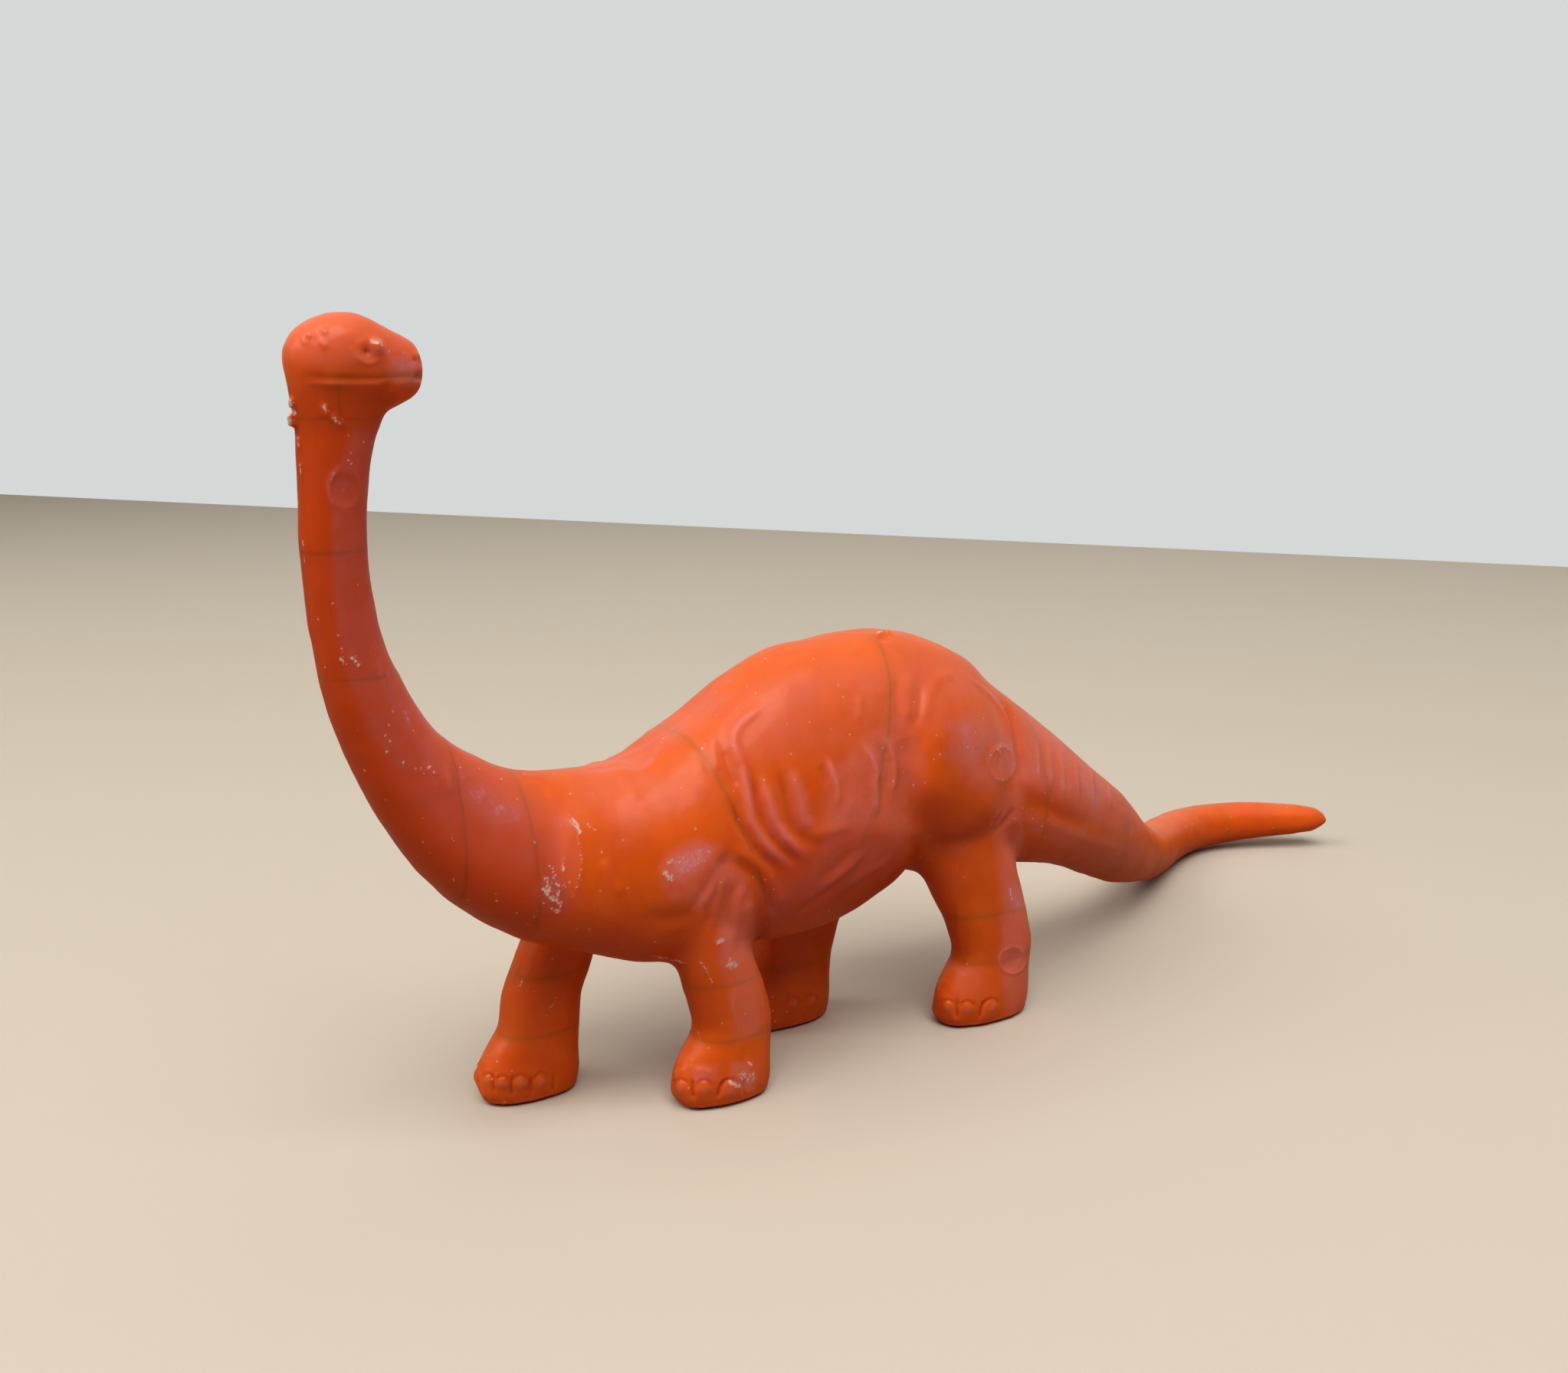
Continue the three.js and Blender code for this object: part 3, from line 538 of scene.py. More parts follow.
# Rubbed and scratched places, crumbs of plastic and flecks
WEAR = on(
    Side.NEAR,
    Mark(((716, 1070), (728, 1078), (738, 1070)), 0.70, 0.0, 0.35, 0.45),
    Mark(((735, 1112), (735, 1142)), 0.14, 0.10, 0.0, 1.0),
    *(
        Mark(((x, y), (x + across, y + down)), width, 0.04, scuff=scuff)
        for x, y, across, down, width, scuff in (
            (716, 1128, 6, 9, 0.15, 0.9), (726, 1140, -7, 8, 0.16, 0.9), (712, 1146, 4, 12, 0.20, 1.0),
            (724, 1152, 8, 6, 0.15, 0.8), (708, 1160, 9, 5, 0.18, 1.0), (731, 1160, -5, 10, 0.16, 0.9),
            (714, 1168, 7, 7, 0.20, 1.0), (726, 1174, 5, 8, 0.18, 1.0), (708, 1178, 5, 4, 0.14, 0.8),
            (720, 1186, 8, 4, 0.20, 1.0), (736, 1150, 3, 9, 0.12, 0.7), (702, 1166, 3, 6, 0.14, 0.7),
        )
    ),
    Mark(((712, 1140), (722, 1160), (720, 1182)), 0.95, 0.0, 0.75, 0.30),
    Mark(((742, 1066), (752, 1078), (760, 1092)), 0.35, 0.04, 0.0, 0.9),
    Mark(((757, 1118), (757, 1140), (750, 1162)), 0.18, 0.05, 0.0, 0.66),
    Mark(((766, 1076), (776, 1084)), 0.19, 0.04, 0.0, 0.8),
    Mark(((782, 1112), (796, 1117)), 0.14, 0.03, 0.0, 0.7),
    Mark(((668, 1110), (674, 1122)), 0.22, 0.0, scuff=0.35, bloom=0.4),
    Mark(((868, 1128), (878, 1122), (892, 1126)), 0.26, 0.03, 0.0, 0.75),
    Mark(((862, 1136), (872, 1142), (880, 1152)), 0.30, 0.06, 0.0, 1.0),
    Mark(((880, 1136), (905, 1130), (925, 1118)), 0.60, 0.0, 0.55, 0.55),
    Mark(((874, 1160), (892, 1172)), 0.60, 0.0, 0.5, 0.2),
    Mark(((936, 1230), (944, 1226)), 0.30, 0.04, 0.0, 1.0),
    Mark(((946, 1252), (956, 1262), (966, 1256)), 0.57, 0.0, 0.4, 0.8),
    Mark(((908, 1250), (920, 1262), (926, 1276), (934, 1290)), 0.11, 0.03, 0.0, 0.9),
    Mark(((957, 1288), (957, 1312), (960, 1330), (970, 1346)), 0.16, 0.02, 0.7, 0.35),
    Mark(((962, 1398), (978, 1408), (990, 1400)), 0.68, 0.0, 0.5, 0.7),
    Mark(((976, 1386), (980, 1390)), 0.16, 0.05, 0.0, 1.0),
    Mark(((952, 1412), (964, 1418)), 0.22, 0.05, 0.0, 1.0),
    Mark(((1004, 1146), (1008, 1166), (1010, 1180)), 0.22, 0.0, 0.4, 0.5),
    Mark(((683, 1278), (678, 1288)), 0.14, 0.03, 0.0, 0.8),
    Mark(((740, 1302), (724, 1308), (714, 1320), (711, 1334)), 0.11, 0.03, 0.0, 0.7),
    Mark(((664, 1286), (666, 1310)), 0.14, 0.0, 0.0, 0.6),
    Mark(((1317, 1160), (1320, 1174)), 0.19, 0.05, 0.0, 1.0),
    Mark(((1292, 1074), (1294, 1080)), 0.14, 0.03, 0.0, 0.8),
    Mark(((1300, 978), (1306, 982)), 0.16, 0.04, 0.0, 1.0),
    Mark(((1258, 950), (1264, 970), (1272, 985)), 1.10, 0.0, 0.95),
    Mark(((1312, 975), (1316, 1000), (1308, 1015)), 0.50, 0.0, 0.9),
    Mark(((612, 1030), (640, 1042), (664, 1058), (672, 1085)), 1.10, 0.0, 0.9),
    Mark(((490, 845), (500, 880), (528, 925), (548, 965)), 0.90, 0.0, 0.55),
    Mark(((460, 660), (462, 720), (464, 790)), 0.85, 0.0, 0.50),
    Mark(((515, 480), (530, 480), (545, 476)), 0.55, 0.0, 0.95),
    Mark(((1390, 1000), (1430, 1040), (1465, 1080)), 1.3, 0.0, 0.45),
    Mark(((1322, 1150), (1330, 1200), (1328, 1240)), 0.9, 0.0, 0.55),
    Mark(((460, 858), (466, 862), (468, 868)), 0.24, 0.05, 0.0, 0.9),
    *(
        Mark(((x, y), (x + 1, y + 2)), size, 0.05, scuff=0.95)
        for x, y, size in (
            (442, 828, 0.12), (446, 846, 0.16), (444, 860, 0.13), (450, 868, 0.12), (424, 870, 0.12),
            (478, 930, 0.12), (504, 960, 0.15), (505, 980, 0.13), (526, 996, 0.14), (547, 1002, 0.12),
            (560, 1000, 0.16), (566, 1008, 0.15), (601, 1002, 0.12), (590, 1094, 0.15), (621, 1098, 0.14),
            (562, 1112, 0.13), (683, 1010, 0.17), (697, 1098, 0.14), (697, 1196, 0.13), (674, 1190, 0.12),
            (785, 1112, 0.16), (592, 1148, 0.13),
        )
    ),
    Mark(((527, 925), (531, 938), (535, 952)), 0.30, 0.0, 0.95),
    Mark(((578, 990), (584, 1010), (588, 1034)), 0.30, 0.0, 0.95),
    Mark(((594, 986), (602, 1004), (604, 1022)), 0.26, 0.0, 0.85),
    Mark(((548, 990), (562, 1012), (570, 1034)), 0.34, 0.0, 0.85),
    Mark(((446, 850), (448, 868)), 0.14, 0.03, 0.0, 0.7),
    Mark(((492, 862), (494, 878), (499, 892)), 0.12, 0.07),
    Mark(((532, 926), (534, 946)), 0.14, 0.06, 0.0, 0.3),
    Mark(((552, 1002), (570, 1007)), 0.14, 0.04, 0.0, 0.8),
    Mark(((584, 1008), (586, 1040)), 0.30, 0.10, 0.3),
    Mark(((880, 1402), (886, 1398), (894, 1396)), 0.24, 0.08, 0.0, 0.3),
    Mark(((906, 1398), (918, 1396), (930, 1401)), 0.26, 0.10, 0.4, 0.25),
    Mark(((770, 1012), (815, 996), (850, 976)), 0.80, 0.0, 0.30, 0.25),
)

FORE_FEET = on(
    Side.FORE,
    *toe(889, 1419),
    *toe(919, 1421, 13.0),
    *toe(953, 1421, 14.0, 0.14),
    Mark(((904, 1408), (903, 1422), (904, 1434)), 0.16, -0.20),
    Mark(((936, 1434), (940, 1418), (946, 1409)), 0.15, -0.22),
    Mark(((972, 1406), (971, 1420), (972, 1432)), 0.16, -0.10),
)

HIND_FEET = on(
    Side.HIND,
    *toe(1236, 1314, 11.0),
    *toe(1262, 1317, 12.0),
    *toe(1294, 1314, 12.0, 0.14),
    Mark(((1249, 1304), (1248, 1318), (1249, 1330)), 0.15, -0.18),
    Mark(((1278, 1330), (1281, 1314), (1286, 1305)), 0.15, -0.20),
    Mark(((1250, 1180), (1252, 1215), (1254, 1248)), 0.30, 0.10),
)

# Toes of the far feet that the camera sees
FAR_FEET = on(
    Side.NEAR,
    *toe(636, 1408, 9.0, 0.07),
    *toe(656, 1413, 11.0),
    *toe(680, 1413, 12.0),
    *toe(706, 1411, 12.0, 0.14),
    Mark(((644, 1400), (643, 1414), (645, 1426)), 0.15, -0.16),
    Mark(((668, 1402), (667, 1416), (668, 1430)), 0.15, -0.18),
    Mark(((693, 1404), (692, 1418), (693, 1430)), 0.15, -0.18),
    Mark(((724, 1402), (722, 1414), (723, 1424)), 0.15, -0.12),
    *toe(1036, 1310, 10.0, 0.14),
    *toe(1060, 1306, 10.0, 0.14),
)

# Torn plastic: flash along the throat and belly, and the stub of the gate on the back
FLASH = on(
    Side.NEAR,
    Mark(((380, 516), (382, 528), (383, 540), (384, 560)), 0.60, 0.0, 0.0, 0.95),
    Mark(((382, 518), (383, 526), (384, 533)), 0.22, 0.34, 0.0, 1.0),
    Mark(((384, 538), (385, 548), (387, 558)), 0.24, 0.50, 0.0, 1.0),
    Mark(((390, 570), (391, 584)), 0.16, 0.12, 0.0, 0.9),
    Mark(((392, 604), (394, 618)), 0.14, 0.08, 0.0, 0.8),
    Mark(((395, 700), (397, 712)), 0.14, 0.08, 0.0, 0.8),
    Mark(((398, 726), (399, 734)), 0.12, 0.08, 0.0, 0.8),
    Mark(((423, 530), (425, 539)), 0.22, 0.10, 0.0, 0.74),
    Mark(((435, 545), (441, 548), (443, 553)), 0.22, 0.10, 0.0, 0.74),
    Mark(((455, 586), (458, 592)), 0.14, 0.05, 0.0, 0.9),
    Mark(((453, 600), (458, 606)), 0.14, 0.05, 0.0, 0.9),
    Mark(((1144, 830), (1152, 827)), 0.26, 0.36, 0.0, 0.75),
    Mark(((1158, 826), (1163, 829)), 0.16, 0.22, 0.0, 0.45),
    Mark(((1151, 834), (1158, 836)), 0.22, -0.10),
    *(
        Mark(((x, y), (x + 5, y + 1)), 0.11, 0.18, scuff=1.0)
        for x, y in ((851, 1246), (859, 1248), (866, 1248), (874, 1251), (882, 1252), (889, 1255))
    ),
)

# Painted highlight along the front of the back, laid on as a pale rim of bloom and scuff
PAINTED_HIGHLIGHT_RIM = on(
    Side.BODY,
    Mark(((745, 1006), (790, 994), (835, 968), (880, 938), (915, 912), (945, 892)), 0.42, 0.0, 0.60, 0.18),
)

MARKS = (
    *FOLDS, *SHOULDER, *HEAD, *MOULD_MARKS, *WEAR, *FORE_FEET, *HIND_FEET, *FAR_FEET, *FLASH, *PAINTED_HIGHLIGHT_RIM,
)

VEILS = (
    # Neck, on the flank side of its front edge, down to the chest
    Veil(((462, 560), (490, 560), (494, 780), (520, 860), (552, 920), (580, 970), (560, 1010), (520, 1006),
          (482, 952), (460, 900), (448, 860), (437, 800), (433, 700), (434, 630)), 0.46, 7),
    Veil(((500, 880), (560, 930), (600, 985), (662, 1012), (704, 1050), (716, 1110), (690, 1150),
          (650, 1130),
          (590, 1102), (556, 1062), (520, 1012), (482, 940)), 0.40, 24),
    Veil(((476, 830), (512, 862), (545, 930), (585, 990), (592, 1032), (556, 1008), (518, 960),
          (488, 900)), 0.62, 18),
    Veil(((596, 1020), (650, 1026), (678, 1052), (656, 1082), (606, 1062)), 0.90, 26),
    Veil(((694, 1058), (742, 1066), (752, 1118), (742, 1190), (704, 1194), (692, 1120)), 0.34, 18),
    # Flank behind the ribs and down to the belly
    Veil(((1085, 1010), (1130, 955), (1185, 925), (1203, 990), (1196, 1060), (1180, 1110), (1120, 1150),
          (1050, 1182), (1006, 1204), (996, 1165), (1050, 1140), (1075, 1090)), 0.45, 18),
    # Shoulder patch and the outer side of the fore leg
    Veil(((866, 1128), (880, 1112), (912, 1098), (936, 1106), (922, 1130), (896, 1154), (868, 1156)),
         0.95, 13),
    Veil(((900, 1120), (936, 1104), (975, 1150), (990, 1190), (985, 1260), (994, 1352), (962, 1352),
          (955, 1290),
          (938, 1256), (936, 1200), (900, 1182), (884, 1156)), 0.45, 12),
    Veil(((940, 1206), (976, 1196), (980, 1250), (966, 1274), (942, 1262)), 0.72, 10),
    # Haunch and the back of the hind leg
    Veil(((1245, 940), (1275, 932), (1310, 952), (1332, 990), (1328, 1024), (1300, 1034), (1262, 1022),
          (1244, 985)), 0.48, 20),
    Veil(((1244, 946), (1264, 932), (1290, 950), (1294, 990), (1268, 1006), (1246, 984)), 0.85, 24),
    Veil(((1300, 962), (1322, 962), (1332, 992), (1324, 1020), (1300, 1014)), 0.85, 14),
    Veil(((1302, 1030), (1334, 1020), (1332, 1130), (1348, 1180), (1348, 1324), (1314, 1332), (1305, 1250),
          (1309, 1180), (1300, 1110)), 0.50, 9),
    Veil(((1312, 1150), (1336, 1152), (1340, 1186), (1316, 1190)), 0.95, 8),
    # Tail root, above and below its dark groove
    Veil(((1326, 925), (1380, 955), (1430, 996), (1480, 1046), (1506, 1085), (1470, 1092), (1430, 1077),
          (1395, 1056), (1360, 1034), (1330, 1020)), 0.52, 14),
    Veil(((1392, 1002), (1420, 1006), (1446, 1040), (1440, 1068), (1408, 1044)), 0.85, 14),
    Veil(((1336, 1060), (1410, 1084), (1480, 1098), (1506, 1106), (1494, 1150), (1460, 1138), (1400, 1112),
          (1345, 1086)), 0.40, 10),
    # Head: film on the snout, and a thin painted sheen over the skull
    Veil(((508, 468), (530, 460), (552, 470), (552, 504), (520, 506), (505, 492)), 0.62, 7),
    Veil(((366, 440), (396, 404), (450, 400), (520, 424), (556, 440), (524, 464), (480, 478), (420, 480),
          (376, 470)), 0.24, 12),
    # Feet
    Veil(((904, 1390), (936, 1390), (936, 1408), (906, 1410)), 0.50, 6),
    Veil(((954, 1388), (982, 1386), (984, 1424), (958, 1424)), 0.60, 8),
    Veil(((1246, 1262), (1284, 1262), (1284, 1298), (1250, 1300)), 0.28, 10),
    Veil(((646, 1352), (678, 1352), (676, 1396), (650, 1396)), 0.30, 8),
    # Painted shade: the throat under the head, the chest, the belly, the front of the haunch and the groove
    # of the tail root are painted darker
    Veil(((360, 506), (400, 510), (505, 506), (500, 560), (500, 760), (560, 880), (620, 955), (690, 990),
          (735, 1060), (730, 1130), (750, 1190), (680, 1220), (600, 1220), (480, 1100), (400, 920),
          (360, 700)),
         0.75, 26, "deep_and_painted_shade"),
    Veil(((690, 1120), (760, 1130), (850, 1190), (910, 1200), (960, 1240), (900, 1290), (760, 1270),
          (680, 1220)),
         0.25, 24, "deep_and_painted_shade"),
    Veil(((1190, 1010), (1250, 1030), (1300, 1060), (1300, 1110), (1230, 1120), (1196, 1080)),
         0.40, 20, "deep_and_painted_shade"),
    Veil(((985, 1110), (1050, 1092), (1120, 1080), (1200, 1090), (1200, 1160), (1060, 1190), (990, 1220)),
         0.65, 22, "deep_and_painted_shade"),
    Veil(((1330, 1018), (1370, 1032), (1400, 1050), (1412, 1070), (1390, 1074), (1336, 1056)),
         0.50, 14, "deep_and_painted_shade"),
    # Painted sheen over the top of the flank and the hip
    Veil(((940, 905), (1040, 880), (1180, 850), (1290, 880), (1240, 960), (1100, 980), (960, 1000)),
         0.20, 26),
    # Painted sheen on the top of the shoulders and along the front of the back
    Veil(((760, 1010), (830, 1000), (880, 1020), (880, 1060), (820, 1075), (770, 1050)), 0.16, 20),
    Veil(((780, 985), (850, 940), (925, 900), (960, 905), (900, 950), (830, 990)), 0.42, 22),
)


# The skin as a net of points


def grid_noise(points: np.ndarray, size: float, seed: int) -> np.ndarray:
    """Smooth seeded noise from -1 to 1 at each point.

    Args:
        points: Places, one row each, in metres.
        size: Distance over which the noise changes, in metres.
        seed: Number that picks the pattern.

    Returns:
        One value per point.
    """
    levels = 4096
    spread = np.array([73856093, 19349663, 83492791])
    table = np.random.default_rng(seed).uniform(-1, 1, levels)
    cell = np.floor(points / size).astype(np.int64)
    part = points / size - cell
    part = part * part * (3 - 2 * part)
    total = np.zeros(len(points))
    for corner in range(8):
        step = np.array([corner & 1, corner >> 1 & 1, corner >> 2 & 1])
        code = np.bitwise_xor.reduce((cell + step) * spread, axis=1)
        weight = np.prod(np.where(step == 1, part, 1 - part), axis=1)
        total += weight * table[code % levels]
    return total


def bell(away: np.ndarray, width: float) -> np.ndarray:
    """Height of a soft bump: 1 at its middle, fading over a width."""
    return np.exp(-((away / width) ** 2))


def line_distance(points: np.ndarray, line: np.ndarray) -> tuple[np.ndarray, np.ndarray]:
    """Distance from points to a line, and how far along it each one's nearest place is.

    Args:
        points: Places, one row each.
        line: The line's own points, at least one.

    Returns:
        The distances, and the shares of the line's length from 0 to 1.
    """
    if len(line) == 1:
        return np.linalg.norm(points - line[0], axis=1), np.full(len(points), 0.5)
    best = np.full(len(points), np.inf)
    share = np.zeros(len(points))
    lengths = np.linalg.norm(np.diff(line, axis=0), axis=1)
    starts = np.concatenate([[0.0], np.cumsum(lengths)])
    for start, end, length, gone in zip(line, line[1:], lengths, starts):
        if length == 0:
            continue
        way = (end - start) / length
        along = np.clip((points - start) @ way, 0, length)
        away = np.linalg.norm(points - start - along[:, None] * way, axis=1)
        closer = away < best
        best[closer] = away[closer]
        share[closer] = (gone + along[closer]) / starts[-1]
    return best, share


@dataclass
class Wax:
    """The skin while it is worked: a mesh, its points and what is painted on them."""

    thing: bpy.types.Object
    shrink: float = 0.5
    swell: float = -0.52
    reach: float = 2.6
    disc_rim: float = 0.08
    line_end: float = 0.18
    least_end: float = 0.12
    end_power: float = 0.7
    hollow_rounds: int = 3
    hollow_scale: float = 0.9
    points: np.ndarray = field(init=False)
    edges: np.ndarray = field(init=False)
    rise: np.ndarray = field(init=False)
    paint: dict[str, np.ndarray] = field(init=False)

    def __post_init__(self) -> None:
        """Reads the mesh."""
        self.read()

    def read(self) -> None:
        """Takes points and edges from the mesh, and clears what was marked."""
        mesh = self.thing.data
        count = len(mesh.vertices)
        self.points = gather(mesh.vertices, "co", 3)
        self.edges = gather(mesh.edges, "vertices", 2, np.int64)
        self.rise = np.zeros(count)
        # The last of these paints holds the painted-shade veils
        self.paint = {name: np.zeros(count) for name in ("bloom", "scuff", "shine", "deep_and_painted_shade")}

    def write(self) -> None:
        """Puts the points back into the mesh."""
        self.thing.data.vertices.foreach_set("co", self.points.ravel())
        self.thing.data.update()

    def normals(self) -> np.ndarray:
        """Outward normals at the mesh's own points."""
        return gather(self.thing.data.vertex_normals, "vector", 3)

    def degree(self) -> np.ndarray:
        """How many neighbours each point has."""
        return np.bincount(self.edges.ravel(), minlength=len(self.points))

    def around(self, values: np.ndarray) -> np.ndarray:
        """Mean of a value over each point's neighbours."""
        count = len(self.points)
        first, second = self.edges.T
        columns = values.reshape(count, -1).T
        sums = [
            np.bincount(first, column[second], count) + np.bincount(second, column[first], count)
            for column in columns
        ]
        return (np.array(sums) / self.degree()).T.reshape(values.shape)

    def relax(self, rounds: int, fine_rounds: int, fine: np.ndarray) -> None:
        """Smooths facets away and keeps the volume.

        Args:
            rounds: How often.
            fine_rounds: How often where the form is fine.
            fine: Whether each point lies where the form is fine.
        """
        for turn in range(rounds):
            weight = np.where(fine, float(turn < fine_rounds), 1.0)[:, None]
            for step in (self.shrink, self.swell):
                self.points += step * weight * (self.around(self.points) - self.points)
        self.write()

    def find_hollows(self) -> None:
        """Paints how far each point lies in a hollow, or with a minus on a crest; the finish turns it into
        painted shade in hollows and painted light on crests.
        """
        lean = self.around(self.points) - self.points
        first, second = self.edges.T
        length = np.linalg.norm(self.points[first] - self.points[second], axis=1)
        count = len(self.points)
        mean = (np.bincount(first, length, count) + np.bincount(second, length, count)) / self.degree()
        bend = (lean * self.normals()).sum(1) / mean**2 * MM
        for _ in range(self.hollow_rounds):
            bend = self.around(bend)
        self.paint["hollow"] = np.tanh(bend / self.hollow_scale)

    def press(self, mark: Mark, line: np.ndarray) -> None:
        """Adds one mark to the rise and the paint of the points near a line.

        Args:
            mark: What to add.
            line: Points on the skin.
        """
        width = mark.width * MM
        reach = self.reach * width
        inside = np.all((self.points > line.min(0) - reach) & (self.points < line.max(0) + reach), axis=1)
        close = np.flatnonzero(inside)
        away, share = line_distance(self.points[close], line)
        if mark.profile is Profile.DISC:
            strength = 1 / (1 + np.exp((away - width) / (self.disc_rim * MM)))
        else:
            strength = bell(away, width)
        if len(line) > 2 and not mark.closed:
            end = np.minimum(share, 1 - share) / self.line_end
            strength = strength * np.clip(end, self.least_end, 1) ** self.end_power
        self.rise[close] += strength * mark.rise * MM
        for name in ("bloom", "scuff", "shine"):
            held = self.paint[name]
            held[close] = np.maximum(held[close], strength * getattr(mark, name))


def lone(name: str, mesh: bpy.types.Mesh) -> bpy.types.Object:
    """A new object in the scene that holds a mesh, and is the only one selected."""
    bpy.ops.object.select_all(action="DESELECT")
    thing = bpy.data.objects.new(name, mesh)
    bpy.context.scene.collection.objects.link(thing)
    thing.select_set(True)
    bpy.context.view_layer.objects.active = thing
    return thing


def finish_modifier(thing: bpy.types.Object, kind: str, **settings: object) -> None:
    """Adds a modifier with its settings and applies it."""
    bpy.context.view_layer.objects.active = thing
    modifier = thing.modifiers.new(kind.lower(), kind)
    for name, value in settings.items():
        setattr(modifier, name, value)
    bpy.ops.object.modifier_apply(modifier=modifier.name)


@dataclass(frozen=True)
class Tooling:
    """Faint unevenness that the sculptor's tool left, in millimetres."""

    height: float
    size: float
    seed: int


@dataclass
class Skin:
    """The figure's whole skin, from the blank to the marked surface. Lengths are in millimetres."""

    cell: float = 0.45
    weld: float = 0.001
    blank_rounds: int = 220
    fine_rounds: int = 9
    last_rounds: int = 2
    last_fine_rounds: int = 1
    head_foot: float = 52.5
    foot_top: float = 5.2
    tooling: tuple[Tooling, ...] = (Tooling(0.028, 1.9, 3), Tooling(0.014, 0.8, 4))
    sole_rim: float = 0.08
    sole_gap: float = 0.112
    rim_height: float = 0.42
    rim_width: float = 0.15
    gap_width: float = 0.20
    sole_slope: float = 0.85
    seam: float = 0.05
    seam_width: float = 0.16
    seam_slope: float = 0.5
    seam_share: float = 0.55
    seam_patch: float = 2.2
    seam_seed: int = 7
    seam_scuff: float = 0.45
    # How much lighter up-facing skin is painted: painted top light
    painted_top_light: float = 0.60
    leg_top: float = 26.0
    leg_blend: float = 12.0
    cast_step: float = 5.0

    def make(self) -> Wax:
        """Draws the blank, marks it and returns it as worked wax."""
        thing = self.blank()
        wax = Wax(thing)
        wax.relax(self.blank_rounds, self.fine_rounds, self.is_fine(wax.points))
        finish_modifier(thing, "SUBSURF", levels=1, render_levels=1)
        self.refine(thing)
        wax.read()
        wax.relax(self.last_rounds, self.last_fine_rounds, self.is_fine(wax.points))
        self.carve(wax)
        wax.find_hollows()
        return wax

    def is_fine(self, points: np.ndarray) -> np.ndarray:
        """Whether points lie on the head or on a foot."""
        head = points[:, 2] > self.head_foot * MM
        foot = (points[:, 2] < self.foot_top * MM) & (points[:, 0] < HEEL)
        return head | foot

    def blank(self) -> bpy.types.Object:
        """Joins copies of the CAD regions under one skin of even quads."""
        parts = [lone(name + "_copy", node.data.copy()) for name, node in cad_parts.items()]
        bpy.ops.object.select_all(action="DESELECT")
        for part in parts:
            part.select_set(True)
        bpy.context.view_layer.objects.active = parts[0]
        bpy.ops.object.join()
        blank = bpy.context.active_object
        blank.data.materials.clear()
        bpy.ops.object.mode_set(mode="EDIT")
        bpy.ops.mesh.select_all(action="SELECT")
        bpy.ops.mesh.remove_doubles(threshold=self.weld * MM)
        bpy.ops.object.mode_set(mode="OBJECT")
        finish_modifier(blank, "REMESH", mode="VOXEL", voxel_size=self.cell * MM)
        blank.name = "skin_blank"
        return blank

    def refine(self, thing: bpy.types.Object) -> None:
        """Gives the head and the feet a finer net."""
        chosen = np.flatnonzero(self.is_fine(gather(thing.data.polygons, "center", 3)))
        net = bmesh.new()
        net.from_mesh(thing.data)
        net.faces.ensure_lookup_table()
        edges = {edge for index in chosen for edge in net.faces[int(index)].edges}
        bmesh.ops.subdivide_edges(net, edges=list(edges), cuts=1, use_grid_fill=True)
        net.to_mesh(thing.data)
        net.free()

    def carve(self, wax: Wax) -> None:
        """Presses every mark into the wax, on both flanks where it belongs there."""
        normals = wax.normals()
        tree = BVHTree.FromObject(wax.thing, bpy.context.evaluated_depsgraph_get())
        for mark in MARKS:
            line = self.cast(mark, tree)
            if not len(line):
                LOG.warning("a mark misses the skin: %s", mark.path[0])
                continue
            wax.press(mark, line)
            if mark.side is not Side.NEAR:
                wax.press(mark, self.mirrored(line, mark.side, tree))
        self.film(wax)
        for tooling in self.tooling:
            wax.rise += tooling.height * MM * grid_noise(wax.points, tooling.size * MM, tooling.seed)
        self.edge_soles(wax, normals)
        self.raise_seam(wax, normals)
        wax.points += normals * wax.rise[:, None]
        wax.points[:, 2] = np.maximum(wax.points[:, 2], 0)
        wax.write()

    def edge_soles(self, wax: Wax, normals: np.ndarray) -> None:
        """Gives each sole a thin rim, and draws the side in below it."""
        height = wax.points[:, 2] / MM
        side = (wax.points[:, 0] < HEEL) * (np.abs(normals[:, 2]) < self.sole_slope)
        rim = self.sole_rim * bell(height - self.rim_height, self.rim_width)
        wax.rise += MM * side * (rim - self.sole_gap * bell(height, self.gap_width))

    def raise_seam(self, wax: Wax, normals: np.ndarray) -> None:
        """Raises the mould's parting line along the middle of the back, the belly and the neck."""
        body = (wax.points[:, 0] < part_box("hips")[1].x) & (np.abs(normals[:, 1]) < self.seam_slope)
        noise = grid_noise(wax.points, self.seam_patch * MM, self.seam_seed)
        patches = np.clip(noise + self.seam_share, 0, 1)
        line = bell(wax.points[:, 1] - MIDDLE, self.seam_width * MM) * body * patches
        wax.rise += self.seam * MM * line
        wax.paint["scuff"] = np.maximum(wax.paint["scuff"], self.seam_scuff * line)

    def film(self, wax: Wax) -> None:
        """Paints the veils on both flanks, and painted light and shade by facing: lighter where the skin
        looks up, darker where it looks down and under the painted-shade veils.
        """
        near_flank = wax.points.copy()
        near_flank[:, 1] = np.minimum(near_flank[:, 1], 2 * MIDDLE - near_flank[:, 1])
        pixels = VIEW.pixels(near_flank)
        for veil in VEILS:
            wax.paint[veil.paint] = np.maximum(wax.paint[veil.paint], veil.strength(pixels))
        # Painted light and shade: up-facing skin goes lighter, down-facing skin and the painted-shade veils
        # go darker
        wax.paint["painted_light_and_shade"] = self.painted_top_light * wax.normals()[:, 2] - wax.paint.pop("deep_and_painted_shade")

